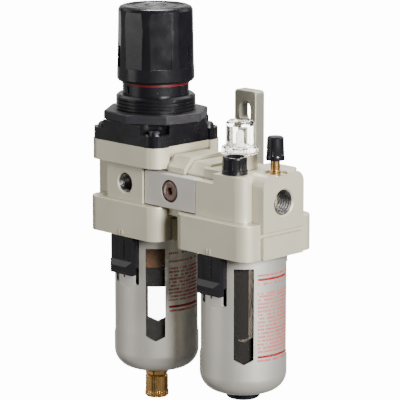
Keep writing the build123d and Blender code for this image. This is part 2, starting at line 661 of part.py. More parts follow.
for name, plane, hole_r in (("filter", REG, 6.1), ("lubricator", LUB, 7.1)):
    with BuildPart() as unit_bowl:
        add(bowl(plane, hole_r))
    save(f"{name}_bowl", unit_bowl.part)

    with BuildPart() as unit_oring:
        add(ring(plane, -18.05, 24.0, 1.1))
    save(f"{name}_bowl_oring", unit_oring.part)

    with BuildPart() as unit_guard:
        add(guard(plane, 9.4))
    save(f"{name}_guard", unit_guard.part)

    with BuildPart() as unit_latch:
        add(latch(plane))
    save(f"{name}_latch", unit_latch.part)

    with BuildPart() as unit_latch_spring:
        add(coil(shifted(plane, 0, -LATCH_SPRING_Y), LATCH_BOTTOM + 0.1, 1.15, 14.4, 9, 0.25))
    save(f"{name}_latch_spring", unit_latch_spring.part)

# ---------------------------------------------------------------------------
# Drain on the filter bowl, plug under the lubricator bowl
# ---------------------------------------------------------------------------
DRAIN_COLLAR_R = 11.2
DRAIN_NUT_R = 7.9
DRAIN_STEP = GUARD_BOTTOM - 2.6     # under the drain's collar
DRAIN_BOTTOM = -154.8
DRAIN_RIBS = 30

with BuildPart() as drain_body:
    add(turned(REG, [
        (2.6, DRAIN_STEP - 3.4), (DRAIN_NUT_R, DRAIN_STEP - 3.4), (DRAIN_NUT_R, DRAIN_STEP),
        (DRAIN_COLLAR_R, DRAIN_STEP), (DRAIN_COLLAR_R, GUARD_BOTTOM - 0.1), (9.2, GUARD_BOTTOM - 0.1),
        (9.2, BOWL_BOTTOM - 0.05), (6.0, BOWL_BOTTOM - 0.05), (6.0, -125.5), (2.6, -125.5),
    ]))
    # six flats on the nut
    with BuildSketch(REG.offset(DRAIN_STEP - 3.4)):
        Circle(DRAIN_NUT_R + 1)
        RegularPolygon(DRAIN_NUT_R - 0.7, 6, major_radius=False, mode=Mode.SUBTRACT)
    extrude(amount=3.0, mode=Mode.SUBTRACT)
save("drain_body", drain_body.part)

with BuildPart() as drain_knob:
    add(turned(REG, [
        (0, DRAIN_BOTTOM), (7.4, DRAIN_BOTTOM), (8.3, DRAIN_BOTTOM + 1.0), (8.3, DRAIN_BOTTOM + 3.0),
        (7.9, DRAIN_BOTTOM + 4.6), (7.9, DRAIN_STEP - 5.0), (6.9, DRAIN_STEP - 3.7),
        (2.5, DRAIN_STEP - 3.7), (2.5, -127.0), (0, -127.0),
    ]))
    for rib in range(DRAIN_RIBS):
        turn = math.radians(rib * 360 / DRAIN_RIBS)
        out = Vector(math.cos(turn), math.sin(turn), 0) * 8.35
        add(disc(shifted(REG, out.X, out.Y), DRAIN_BOTTOM + 1, 0.55, 16), mode=Mode.SUBTRACT)
save("drain_knob", drain_knob.part)

PLUG_BOTTOM = -138.4

with BuildPart() as bottom_plug:
    add(turned(LUB, [
        (0, PLUG_BOTTOM), (9.8, PLUG_BOTTOM), (11.4, PLUG_BOTTOM + 1.2), (11.4, GUARD_BOTTOM - 0.1),
        (9.2, GUARD_BOTTOM - 0.1),
        (9.2, BOWL_BOTTOM - 0.05), (7.0, BOWL_BOTTOM - 0.05), (7.0, -128.2), (0, -128.2),
    ]))
    with BuildSketch(LUB.offset(PLUG_BOTTOM)):
        RegularPolygon(4.5, 6, major_radius=False)
    extrude(amount=4, mode=Mode.SUBTRACT)
save("bottom_plug", bottom_plug.part)

# ---------------------------------------------------------------------------
# Between the units: spacer, seals, clamp and wall bracket
# ---------------------------------------------------------------------------
GAP = PITCH / 2 - PORT_FACE      # half width of the spacer between the port faces
BAND_X = PITCH / 2 - COLLAR_X - 0.2     # half width of the band round the port blocks' ends
BAND = 2.4                       # thickness of that band
ROW = Plane(origin=(0, UNIT_Y, 0))
SEAL_R = 11.5

with BuildPart() as spacer:
    with BuildSketch(side(ROW, -BAND_X)):
        add(port_profile(grow=BAND))
    extrude(amount=2 * BAND_X)
    for face in (-BAND_X, GAP):
        with BuildSketch(side(ROW, face)):
            add(port_profile(grow=0.1))
            with Locations((0, PORT_BOTTOM)):
                Rectangle(2 * PORT_Y, 2)
        extrude(amount=BAND_X - GAP, mode=Mode.SUBTRACT)
    with BuildSketch(ROW.offset(CLAMP_BOTTOM - 0.2)):
        for y in (-1, 1):
            with Locations((0, y * (PORT_Y + BAND))):
                Rectangle(2 * BAND_X + 1, 4)
    extrude(amount=CLAMP_TOP - CLAMP_BOTTOM + 0.4, mode=Mode.SUBTRACT)
    with BuildSketch(side(ROW, -GAP - 1)):
        Circle(7.5)
    extrude(amount=2 * GAP + 2, mode=Mode.SUBTRACT)
    for face in (-GAP, GAP - 1.5):
        with BuildSketch(side(ROW, face)):
            Circle(SEAL_R + 1.1)
            Circle(SEAL_R - 1.1, mode=Mode.SUBTRACT)
        extrude(amount=1.5, mode=Mode.SUBTRACT)
    # threaded holes for the clamp screw in front and the bracket screw behind
    with BuildSketch(front(ROW, 0)):
        Circle(3.1)
    extrude(amount=30, mode=Mode.SUBTRACT)
    with BuildSketch(front(ROW, 0)):
        Circle(3.1)
    extrude(amount=-30, mode=Mode.SUBTRACT)
save("spacer", spacer.part)

with BuildPart() as spacer_seals:
    for x in (-GAP + 0.76, GAP - 0.76):
        with BuildPart(side(ROW, x), mode=Mode.PRIVATE) as seal:
            Torus(SEAL_R, 0.72)
        add(seal.part)
save("spacer_seals", spacer_seals.part)

SCREW_SEAT_R = 7.6
CLAMP_SCREW_R = 6.8

with BuildPart() as front_clamp:
    with BuildSketch(front(ROW, -CLAMP_BACK)):
        with Locations((0, (CLAMP_TOP + CLAMP_BOTTOM) / 2)):
            RectangleRounded(2 * CLAMP_X, CLAMP_TOP - CLAMP_BOTTOM, 1.2)
    extrude(amount=CLAMP_Y - CLAMP_BACK)
    fillet(front_clamp.faces().sort_by(Axis.Y)[0].edges(), 0.6)
    with Locations(front(ROW, -CLAMP_Y)):
        CounterBoreHole(3.2, SCREW_SEAT_R, 4.0, 20)
save("front_clamp", front_clamp.part)

with BuildPart() as clamp_screw:
    with BuildSketch(front(ROW, -CLAMP_Y + 3.9)):
        Circle(CLAMP_SCREW_R)
    extrude(amount=3.9)
    chamfer(clamp_screw.faces().sort_by(Axis.Y)[0].edges(), 0.7)
    with BuildSketch(front(ROW, -CLAMP_Y + 3.9)):
        Circle(3.0)
    extrude(amount=-13)
    # dished face with a hexagon socket
    with BuildSketch(front(ROW, -CLAMP_Y)):
        Circle(4.6)
    extrude(amount=-0.5, mode=Mode.SUBTRACT)
    with BuildSketch(front(ROW, -CLAMP_Y)):
        RegularPolygon(2.5, 6, major_radius=False)
    extrude(amount=-3.2, mode=Mode.SUBTRACT)
save("clamp_screw", clamp_screw.part)

BRACKET = Plane(origin=(0, 0, 0), x_dir=(1, 0, 0), z_dir=(0, -1, 0))

with BuildPart() as wall_bracket:
    with BuildSketch(BRACKET):
        RectangleRounded(2 * ARM_X, 2 * ARM_TOP, 2.6)
        for z in (-SLOT_PITCH / 2, SLOT_PITCH / 2):
            with Locations((0, z)):
                SlotOverall(SLOT_L, SLOT_W, rotation=90, mode=Mode.SUBTRACT)
    extrude(amount=-ARM_FRONT)
    chamfer(wall_bracket.faces().sort_by(Axis.Y)[0].outer_wire().edges(), 0.6)
    # stem to the units, ending in the rear clamp plate
    with BuildSketch(BRACKET.offset(-ARM_FRONT - 0.5)):
        Rectangle(2 * ARM_X, 2 * CLAMP_TOP)
    extrude(amount=-UNIT_Y + ARM_FRONT + 0.5 - CLAMP_Y)
    with BuildSketch(BRACKET.offset(-UNIT_Y - CLAMP_Y)):
        with Locations((0, (CLAMP_TOP + CLAMP_BOTTOM) / 2)):
            RectangleRounded(2 * CLAMP_X, CLAMP_TOP - CLAMP_BOTTOM, 1.2)
    extrude(amount=CLAMP_Y - CLAMP_BACK)
    with Locations(Plane(origin=(0, 0, 0), z_dir=(0, 1, 0))):
        CounterBoreHole(3.2, 6.0, 7.0, 40)
save("wall_bracket", wall_bracket.part)

with BuildPart() as bracket_screw:
    with BuildSketch(BRACKET.offset(0.6)):
        Circle(5.4)
        RegularPolygon(2.5, 6, major_radius=False, mode=Mode.SUBTRACT)
    extrude(amount=3.4)
    with BuildSketch(BRACKET.offset(4.0)):
        Circle(5.4)
    extrude(amount=3.0)
    with BuildSketch(BRACKET.offset(7.0)):
        Circle(3.0)
    extrude(amount=34)
save("bracket_screw", bracket_screw.part)

# ---------------------------------------------------------------------------
# Lubricator: body
# ---------------------------------------------------------------------------
MIDDLE_X = 26.0         # right side of the middle block
MIDDLE_LEFT = -17.3
MIDDLE_CORNER = 7.7
RIDGE_END = 21.5
LEDGE_TOP = 11.1
LEDGE_RIGHT = -1.0
DOME = shifted(LUB, DOME_X, DOME_Y)
FILL = shifted(LUB, PLUG_X, PLUG_Y)
RELIEF = shifted(LUB, RELIEF_X, RELIEF_Y)
DOME_BOSS_R = 11.9
DOME_BOSS_TOP = 27.6
RELIEF_SEAT = 17.9

with BuildPart() as lubricator_body:
    add(casting(LUB, PLATEAU_TOP, 1))
    # middle block: square at the inlet side, round corners at the outlet side
    with BuildSketch(LUB.offset(COLLAR_TOP - 0.5)) as middle:
        with Locations(((MIDDLE_X + MIDDLE_LEFT) / 2, 0)):
            Rectangle(MIDDLE_X - MIDDLE_LEFT, 2 * CLAMP_Y)
        fillet(middle.vertices().group_by(Axis.X)[-1], MIDDLE_CORNER)
    extrude(amount=PLATEAU_TOP - COLLAR_TOP + 0.5)
    # the port blocks' ridge ends at the middle block
    with BuildSketch(LUB.offset(PLATEAU_TOP)):
        with Locations(((RIDGE_END + MIDDLE_LEFT) / 2, 0)):
            Rectangle(RIDGE_END - MIDDLE_LEFT, 2 * PORT_Y)
    extrude(amount=4, mode=Mode.SUBTRACT)
    # low ledge beside the clamp plates
    with BuildSketch(LUB.offset(LEDGE_TOP)):
        for y in (-1, 1):
            with Locations(((LEDGE_RIGHT + MIDDLE_LEFT - 1) / 2, y * (PORT_Y + 10))):
                Rectangle(LEDGE_RIGHT - MIDDLE_LEFT + 1, 20)
    extrude(amount=PLATEAU_TOP - LEDGE_TOP + 1, mode=Mode.SUBTRACT)
    add(disc(DOME, PLATEAU_TOP - 1, DOME_BOSS_R, DOME_BOSS_TOP - PLATEAU_TOP + 1))
    # dished seat of the relief valve and its hole
    add(disc(RELIEF, RELIEF_SEAT, 8.0, 4), mode=Mode.SUBTRACT)
    add(disc(RELIEF, 10.8, 2.6, 10), mode=Mode.SUBTRACT)
    # main passage with a threaded outlet port
    with BuildSketch(side(LUB, PORT_FACE - 14)):
        Circle(G38_R)
    extrude(amount=15, mode=Mode.SUBTRACT)
    with BuildSketch(side(LUB, -PORT_FACE - 1)):
        Circle(7.4)
    extrude(amount=2 * PORT_FACE - 10, mode=Mode.SUBTRACT)
    chamfer(
        lubricator_body.edges().filter_by(GeomType.CIRCLE).filter_by(
            lambda e: abs(e.radius - G38_R) < 0.01
            and abs(e.center().X - PITCH / 2 - PORT_FACE) < 0.01), 1.0)
    # dome socket, seal groove, fill hole down to the bowl
    add(disc(DOME, 12.0, 7.9, 20), mode=Mode.SUBTRACT)
    add(turned(DOME, [(8.9, 26.2), (10.9, 26.2), (10.9, 29), (8.9, 29)]), mode=Mode.SUBTRACT)
    add(disc(FILL, -15, 5.6, 40), mode=Mode.SUBTRACT)
    # siphon feed hole up to the dome
    add(disc(shifted(LUB, DOME_X, 12.0), -15, 1.2, 31), mode=Mode.SUBTRACT)
save("lubricator_body", lubricator_body.part)

# ---------------------------------------------------------------------------
# Lubricator: sight dome, nozzle, fill plug, relief valve
# ---------------------------------------------------------------------------
DOME_R = 9.4
DOME_TOP = 49.5

with BuildPart() as sight_dome:
    add(turned(DOME, [
        (5.6, 21.0), (7.8, 21.0), (7.8, 27.9), (12.1, 27.9), (12.3, 28.4), (12.3, 31.6), (11.6, 32.4),
        (DOME_R, 32.6), (DOME_R, DOME_TOP - 1.6), (DOME_R - 1.6, DOME_TOP), (6.0, DOME_TOP),
        (5.4, DOME_TOP - 0.8), (0, DOME_TOP - 0.8), (0, DOME_TOP - 3.4), (7.0, DOME_TOP - 3.4),
        (7.0, 28.5), (5.6, 28.5),
    ]))
    for rib in range(36):
        turn = rib * 10
        spot = Vector(math.cos(math.radians(turn)), math.sin(math.radians(turn)), 0) * 12.5
        add(disc(shifted(DOME, spot.X, spot.Y), 27, 0.5, 6), mode=Mode.SUBTRACT)
save("sight_dome", sight_dome.part)

with BuildPart() as dome_seal:
    add(ring(DOME, 26.95, 9.9, 0.7))
save("dome_seal", dome_seal.part)

with BuildPart() as drip_nozzle:
    add(turned(DOME, [
        (0, 12.1), (5.2, 12.1), (5.2, 29.0), (4.4, 29.6), (4.4, 33.0), (2.6, 34.0), (2.6, 41.0),
        (1.2, 43.0), (0, 43.0),
    ]))
save("drip_nozzle", drip_nozzle.part)

FILL_FLUTES = 14
with BuildPart() as oil_fill_plug:
    add(turned(FILL, [
        (0, 6.0), (4.6, 6.0), (5.4, 7.0), (5.4, PLATEAU_TOP + 0.1), (8.6, PLATEAU_TOP + 0.1),
        (8.6, 20.2), (8.1, 20.9), (8.1, 28.2), (7.6, 29.2), (6.6, 29.2), (6.0, 28.4), (6.0, 24.0),
        (0, 24.0),
    ]))
    for rib in range(FILL_FLUTES):
        turn = rib * 360 / FILL_FLUTES
        spot = Vector(math.cos(math.radians(turn)), math.sin(math.radians(turn)), 0) * 8.7
        add(disc(shifted(FILL, spot.X, spot.Y), 21, 0.95, 6.4), mode=Mode.SUBTRACT)
    add(turned(FILL, [(4.5, 15.4), (6, 15.4), (6, 17.2), (4.5, 17.2)]), mode=Mode.SUBTRACT)
save("oil_fill_plug", oil_fill_plug.part)

with BuildPart() as fill_plug_seal:
    add(ring(FILL, 16.3, 5.02, 0.5))
save("fill_plug_seal", fill_plug_seal.part)

with BuildPart() as relief_stem:
    add(turned(RELIEF, [
        (0, 11.0), (2.5, 11.0), (2.5, RELIEF_SEAT + 0.05), (3.6, RELIEF_SEAT + 0.05), (3.6, 20.6),
        (3.1, 21.0), (3.1, 27.6), (1.6, 27.9), (1.6, 36.0), (0, 36.0),
    ]))
save("relief_stem", relief_stem.part)

with BuildPart() as relief_cap:
    add(turned(RELIEF, [
        (1.65, 28.0), (6.2, 28.0), (6.2, 30.0), (5.9, 30.8), (5.5, 42.4), (4.6, 43.4), (0, 43.4),
        (0, 37.0), (1.65, 37.0),
    ]))
    for rib in range(12):
        turn = rib * 30
        spot = Vector(math.cos(math.radians(turn)), math.sin(math.radians(turn)), 0) * 6.2
        add(disc(shifted(RELIEF, spot.X, spot.Y), 31, 0.6, 10.8), mode=Mode.SUBTRACT)
save("relief_cap", relief_cap.part)

# ---------------------------------------------------------------------------
# Lubricator: inner pieces
# ---------------------------------------------------------------------------
with BuildPart() as flow_damper:
    with BuildSketch(side(LUB, 14.0)):
        Circle(7.35)
        with Locations((0, -2.2)):
            Circle(3.4, mode=Mode.SUBTRACT)
        with Locations((0, 4.2)):
            Rectangle(7.0, 1.4, mode=Mode.SUBTRACT)
    extrude(amount=2.0)
save("flow_damper", flow_damper.part)

with BuildPart() as siphon_guide:
    add(turned(shifted(LUB, -1.0, -1.0), [
        (3.2, -98.0), (4.9, -98.0), (4.9, -20.0), (9.0, -16.0), (9.0, -14.1), (3.2, -14.1)]))
save("siphon_guide", siphon_guide.part)

TUBE_R = 1.7
with BuildPart() as siphon_tube:
    with BuildLine(Plane(origin=(PITCH / 2, UNIT_Y, 0))) as route:
        FilletPolyline(
            (10.0, 3.0, -14.1), (10.0, 3.0, -58.0), (6.0, -7.5, -92.0), (-4.0, -9.5, -119.5),
            radius=30.0)
    with BuildSketch(Plane(origin=route.wires()[0] @ 0, z_dir=route.wires()[0] % 0)):
        Circle(TUBE_R)
        Circle(TUBE_R - 0.6, mode=Mode.SUBTRACT)
    sweep(path=route.wires()[0])
save("siphon_tube", siphon_tube.part)

with BuildPart() as siphon_strainer:
    add(turned(shifted(LUB, -4.3, -9.6), [
        (0, -126.6), (3.6, -126.6), (3.6, -121.6), (2.4, -120.2), (0, -120.2)]))
save("siphon_strainer", siphon_strainer.part)
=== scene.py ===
import json
import math

import bmesh
import bpy
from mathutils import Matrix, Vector


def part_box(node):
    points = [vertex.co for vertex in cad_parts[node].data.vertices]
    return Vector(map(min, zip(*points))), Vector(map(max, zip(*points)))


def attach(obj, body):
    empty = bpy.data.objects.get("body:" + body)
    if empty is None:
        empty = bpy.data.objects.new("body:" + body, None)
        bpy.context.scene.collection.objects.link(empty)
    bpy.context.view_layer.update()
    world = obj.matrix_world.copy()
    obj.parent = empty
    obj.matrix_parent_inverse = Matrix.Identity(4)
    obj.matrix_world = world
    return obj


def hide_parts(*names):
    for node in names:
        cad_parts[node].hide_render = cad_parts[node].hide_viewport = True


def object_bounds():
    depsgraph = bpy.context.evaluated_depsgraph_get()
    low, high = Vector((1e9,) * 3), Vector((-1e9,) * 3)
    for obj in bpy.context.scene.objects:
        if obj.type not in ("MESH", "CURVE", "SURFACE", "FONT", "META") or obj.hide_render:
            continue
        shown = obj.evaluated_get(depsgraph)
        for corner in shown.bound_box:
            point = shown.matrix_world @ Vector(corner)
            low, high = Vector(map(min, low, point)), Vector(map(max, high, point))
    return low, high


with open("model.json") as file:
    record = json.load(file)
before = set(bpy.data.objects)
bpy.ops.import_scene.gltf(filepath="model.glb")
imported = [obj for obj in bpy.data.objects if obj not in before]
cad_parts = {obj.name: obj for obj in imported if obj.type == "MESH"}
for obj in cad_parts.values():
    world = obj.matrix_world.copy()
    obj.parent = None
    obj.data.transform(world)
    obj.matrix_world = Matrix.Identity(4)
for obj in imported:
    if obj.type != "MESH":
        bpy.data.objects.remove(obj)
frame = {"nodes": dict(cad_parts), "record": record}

bl_info = {
    "name": "Filter Regulator Lubricator",
    "version": (1, 0, 0),
    "blender": (4, 5, 0),
    "location": "View3D > Sidebar > Air Set",
    "description": "Finishes and fine detail of an air filter regulator and lubricator",
    "category": "Object",
}

CAD_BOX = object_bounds()
MM = 0.001


# ---------------------------------------------------------------------------
# Places read from the frame
# ---------------------------------------------------------------------------
def middle(node):
    """Centre of a CAD node's box."""
    low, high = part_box(node)
    return (low + high) / 2


def radius_of(node):
    """Half width of a round CAD node."""
    low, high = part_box(node)
    return (high.x - low.x) / 2


FILTER_AXIS = middle("filter_bowl")
LUBRICATOR_AXIS = middle("lubricator_bowl")
GUARD_RADIUS = radius_of("filter_guard")


# ---------------------------------------------------------------------------
# Numbers that no setting changes
# ---------------------------------------------------------------------------
WHITE = (1.0, 1.0, 1.0, 1.0)
NOISE_LOW, NOISE_HIGH = 0.3, 0.7  # nearly all values of a noise lie between these

# finishes without a colour setting
DARK_STEEL = (0.075, 0.075, 0.085)
RUBBER = (0.018, 0.018, 0.018)
ACETAL = (0.7, 0.7, 0.66)
DOME_TINT = (0.84, 0.83, 0.81)
CLEAR_TINT, CLEAR_BODY = (0.96, 0.965, 0.96), (0.34, 0.33, 0.31)
SMOKY_TINT, SMOKY_BODY = (0.40, 0.38, 0.36), (0.13, 0.12, 0.11)
# painted shade: the darkest tone laid into the paint where faces stand close, and how close they must
# be
PAINTED_SHADE, PAINTED_SHADE_REACH = (0.12, 0.11, 0.09, 1.0), 1.8 * MM
PORE = (0.45, 0.4, 0.36, 1.0)

# mesh clean-up and edges
MERGE_GAP = 0.002 * MM
FLAT_ANGLE, BEVEL_ANGLE, SHARP_ANGLE = math.radians(0.4), math.radians(28), math.radians(32)
FACE_WEIGHT = 80
FINE_EDGE = 0.2 * MM    # screws and rings
SMALL_EDGE = 0.25 * MM  # knob cap, dome and nozzle
TURNED_EDGE = 0.3 * MM  # turned pieces and the clamp
SOFT_EDGE = 0.4 * MM    # moulded inner pieces and the bottom plug

# port threads: clearance to the bore, length left plain, ridge height as a share of the pitch
THREAD_GAP, THREAD_PLAIN, RIDGE_SHARE = 0.02 * MM, 1.6 * MM, 0.45

# printed marks: height over the guard, steps along a line and a dash, shortest dash, first seed
PRINT_LIFT = 0.03 * MM
LINE_STEPS, DASH_STEPS = 41, 5
SHORTEST_DASH = 0.45
FIRST_SEED = 5
# name, rows, dashes in a row, dash length, dash height, centre height, block height (mm),
# share of dashes left out; a single dash is a whole line
PRINTS = {
    "filter": (
        ("header", 2, 20, 1.2, 1.3, -50.2, 5.6, 0.25),
        ("block", 10, 24, 1.05, 1.25, -69.0, 22.0, 0.16),
        ("line", 1, 1, 27.0, 1.5, -84.7, 0.0, 0.0),
        ("footer", 1, 20, 1.2, 1.2, -87.6, 0.0, 0.25),
    ),
    "lubricator": (
        ("header", 1, 19, 1.2, 1.3, -48.6, 0.0, 0.3),
        ("top_line", 1, 1, 27.0, 1.5, -51.4, 0.0, 0.0),
        ("subtitle", 2, 21, 1.1, 1.2, -57.6, 6.4, 0.35),
        ("block", 16, 24, 1.05, 1.25, -81.5, 37.5, 0.16),
        ("low_line", 1, 1, 27.0, 1.5, -103.8, 0.0, 0.0),
        ("footer", 1, 19, 1.2, 1.2, -106.4, 0.0, 0.3),
    ),
}

# camera: aim point, azimuth and elevation in degrees, distance, sensor and lens in mm
CAMERA_AIM = Vector((1.2 * MM, FILTER_AXIS.y - 0.4 * MM, -9.7 * MM))
CAMERA_AZIMUTH, CAMERA_ELEVATION, CAMERA_DISTANCE = 45.45, 11.81, 1.682
CAMERA_SENSOR, CAMERA_LENS, CAMERA_REACH = 36.0, 225.0, 20.0

# area lights: name, place, size, power
SOFTBOXES = (
    ("key_right", (1.75, -0.45, 0.6), 0.65, 124.0),
    ("overhead", (-0.35, 0.35, 1.5), 0.7, 60.0),
    ("fill_left", (-0.9, -1.6, 0.25), 0.9, 7.5),
)
# glowing cards: direction, cosine where the card starts, cosine where it is full, strength
CARDS = (
    ((-0.75, 0.62, -0.1), 0.7, 0.95, 0.8),
    ((0.97, 0.1, 0.0), 0.75, 0.97, 0.45),
    ((0.69, -0.7, -0.1), 0.95, 0.995, 0.4),
    ((-0.7, -0.2, 0.69), 0.85, 0.97, 1.8),
    ((0.2, 0.69, 0.7), 0.85, 0.97, 2.4),
    ((-0.75, -0.65, -0.15), 0.7, 0.95, 0.42),
    ((0.0, 0.0, -1.0), 0.4, 0.95, 0.2),
)
ROOM_COLOUR, ROOM_STRENGTH = (1.0, 0.99, 0.97, 1.0), 0.035
STAGE_GLOW = 14.0
FLOOR_DROP, FLOOR_RADIUS, SURROUND_RADIUS = 0.12, 3.0, 8.0


# ---------------------------------------------------------------------------
# Settings that a user would change
# ---------------------------------------------------------------------------
def colour(name, description, default):
    """A linear colour setting."""
    return bpy.props.FloatVectorProperty(
        name=name, description=description, default=default,
        size=3, min=0.0, max=1.0, subtype="COLOR")


def length(name, description, default):
    """A length setting in metres."""
    return bpy.props.FloatProperty(
        name=name, description=description, default=default,
        min=0.0, unit="LENGTH", precision=5)


class AirSetColours(bpy.types.PropertyGroup):
    """Colours of the finishes."""
    casting: colour("Casting paint", "Champagne paint on the die-cast bodies", (0.475, 0.445, 0.335))
    clamp: colour("Clamp paint", "Grey paint on the clamp plate", (0.43, 0.405, 0.37))
    bracket: colour("Bracket paint", "Darker paint on the wall bracket", (0.40, 0.385, 0.31))
    guard: colour("Guard paint", "Silver paint on the bowl guards", (0.64, 0.61, 0.545))
    plastic: colour("Black plastic", "Knob, bonnet, latches and plugs", (0.006, 0.0057, 0.0072))
    nut: colour("Nut plastic", "Panel nut", (0.016, 0.015, 0.018))
    lock_ring: colour("Lock ring", "Ring that shows when the knob is unlocked", (0.07, 0.004, 0.006))
    brass: colour("Brass", "Drain, nozzle and relief stem", (0.68, 0.40, 0.14))
    bronze: colour("Brown steel", "Clamp screw", (0.20, 0.135, 0.115))
    steel: colour("Plated steel", "Screws and springs", (0.52, 0.52, 0.51))
    bore: colour("Cut aluminium", "Bare threads in the ports", (0.30, 0.285, 0.28))
    element: colour("Filter element", "Porous resin of the filter element", (0.40, 0.19, 0.07))
    print_red: colour("Print lines", "Level lines printed on the guards", (0.42, 0.025, 0.03))
    print_pale: colour("Print rows", "Fine rows printed on the guards", (0.42, 0.075, 0.06))


class AirSetSizes(bpy.types.PropertyGroup):
    """Sizes of the fine detail."""
    casting_edge: length("Casting edge", "Rounding of the die-cast edges", 0.55 * MM)
    plastic_edge: length("Plastic edge", "Rounding of the moulded edges", 0.45 * MM)
    metal_edge: length("Sheet edge", "Rounding of the guards' cut edges", 0.25 * MM)
    port_pitch: length("Port thread pitch", "Pitch of the ridges shown in the ports", 2.2 * MM)
    print_width: length("Print width", "Width of the printed block along the guard", 26.0 * MM)


# ---------------------------------------------------------------------------
# Finishes
# ---------------------------------------------------------------------------
def blank_material(name):
    """A new material with one Principled shader: (material, nodes, links, shader)."""
    material = bpy.data.materials.new(name)
    material.use_nodes = True
    nodes = material.node_tree.nodes
    return material, nodes, material.node_tree.links, nodes["Principled BSDF"]


def tinted(rgb, share):
    """A colour made lighter or darker by a share."""
    return tuple(min(1.0, max(0.0, c * (1 + share))) for c in rgb) + (1.0,)


def noise_at(nodes, links, scale, detail=4.0, stretch=(1.0, 1.0, 1.0)):
    """Noise on object coordinates; scale is in features per metre."""
    place = nodes.new("ShaderNodeTexCoord")
    mapping = nodes.new("ShaderNodeMapping")
    mapping.inputs["Scale"].default_value = stretch
    noise = nodes.new("ShaderNodeTexNoise")
    noise.inputs["Scale"].default_value = scale
    noise.inputs["Detail"].default_value = detail
    links.new(place.outputs["Object"], mapping.inputs["Vector"])
    links.new(mapping.outputs["Vector"], noise.inputs["Vector"])
    return noise.outputs["Fac"]


def ramp_between(nodes, links, fac, low, high, start=NOISE_LOW, end=NOISE_HIGH):
    """Colour ramp between two colours."""
    ramp = nodes.new("ShaderNodeValToRGB")
    ramp.color_ramp.elements[0].position = start
    ramp.color_ramp.elements[1].position = end
    ramp.color_ramp.elements[0].color = low
    ramp.color_ramp.elements[1].color = high
    links.new(fac, ramp.inputs["Fac"])
    return ramp.outputs["Color"]


def spread(nodes, links, fac, low, high):
    """A number that follows noise between two values."""
    mapped = nodes.new("ShaderNodeMapRange")
    mapped.inputs["From Min"].default_value = NOISE_LOW
    mapped.inputs["From Max"].default_value = NOISE_HIGH
    mapped.inputs["To Min"].default_value = low
    mapped.inputs["To Max"].default_value = high
    links.new(fac, mapped.inputs["Value"])
    return mapped.outputs["Result"]


def bumped(nodes, links, shader, fac, depth, strength):
    """Bump of a given depth in metres."""
    bump = nodes.new("ShaderNodeBump")
    bump.inputs["Strength"].default_value = strength
    bump.inputs["Distance"].default_value = depth
    links.new(fac, bump.inputs["Height"])
    links.new(bump.outputs["Normal"], shader.inputs["Normal"])


def multiplied(nodes, links, first, second, share):
    """One colour multiplied by another, to a given share."""
    mix = nodes.new("ShaderNodeMix")
    mix.data_type = "RGBA"
    mix.blend_type = "MULTIPLY"
    mix.inputs["Factor"].default_value = share
    links.new(first, mix.inputs["A"])
    links.new(second, mix.inputs["B"])
    return mix.outputs["Result"]


def mixed_surface(nodes, links, share, first, second):
    """End a material in a mix of two shaders."""
    mix = nodes.new("ShaderNodeMixShader")
    links.new(share, mix.inputs["Fac"])
    links.new(first, mix.inputs[1])
    links.new(second, mix.inputs[2])
    links.new(mix.outputs["Shader"], nodes["Material Output"].inputs["Surface"])


def painted_gap_shade(nodes, links, tone):
    """The tone darkened where another face stands close: painted shade in the gaps."""
    gaps = nodes.new("ShaderNodeAmbientOcclusion")
    gaps.samples = 8
    gaps.inputs["Distance"].default_value = PAINTED_SHADE_REACH
    shade_tone = ramp_between(nodes, links, gaps.outputs["AO"], PAINTED_SHADE, WHITE, 0.15, 0.75)
    return multiplied(nodes, links, tone, shade_tone, 1.0)


def paint(name, rgb, metallic, rough, grain=2600.0, depth=0.02 * MM):
    """Satin paint with a fine texture over metal, darkened with painted shade in the gaps."""
    material, nodes, links, shader = blank_material(name)
    shader.inputs["Metallic"].default_value = metallic
    shader.inputs["Coat Weight"].default_value = 0.12
    shader.inputs["Coat Roughness"].default_value = 0.35
    broad = noise_at(nodes, links, 38.0, 3.0)
    fine = noise_at(nodes, links, grain, 2.0)
    tone = ramp_between(nodes, links, broad, tinted(rgb, -0.05), tinted(rgb, 0.05))
    # painted shade: the paint colour is darkened in the gaps between parts
    links.new(painted_gap_shade(nodes, links, tone), shader.inputs["Base Color"])
    links.new(spread(nodes, links, fine, rough - 0.05, rough + 0.05), shader.inputs["Roughness"])
    bumped(nodes, links, shader, fine, depth, 0.6)
    return material


def moulded(name, rgb, rough):
    """Moulded plastic with a faint texture and uneven gloss."""
    material, nodes, links, shader = blank_material(name)
    shader.inputs["IOR"].default_value = 1.5
    shader.inputs["Specular IOR Level"].default_value = 0.3
    cloudy = noise_at(nodes, links, 90.0, 4.0)
    fine = noise_at(nodes, links, 1500.0, 2.0)
    links.new(ramp_between(nodes, links, cloudy, tinted(rgb, -0.12), tinted(rgb, 0.12)),
              shader.inputs["Base Color"])
    links.new(spread(nodes, links, cloudy, rough - 0.05, rough + 0.07), shader.inputs["Roughness"])
    bumped(nodes, links, shader, fine, 0.015 * MM, 0.5)
    return material


def machined(name, rgb, rough, metallic=1.0):
    """Turned metal: fine rings along the turning axis and slight tarnish."""
    material, nodes, links, shader = blank_material(name)
    shader.inputs["Metallic"].default_value = metallic
    tarnish = noise_at(nodes, links, 120.0, 4.0)
    rings = noise_at(nodes, links, 420.0, 2.0, stretch=(1.0, 1.0, 14.0))
    links.new(ramp_between(nodes, links, tarnish, tinted(rgb, -0.22), tinted(rgb, 0.08)),
              shader.inputs["Base Color"])
    links.new(spread(nodes, links, rings, rough - 0.06, rough + 0.08), shader.inputs["Roughness"])
    bumped(nodes, links, shader, rings, 0.02 * MM, 0.5)
    return material


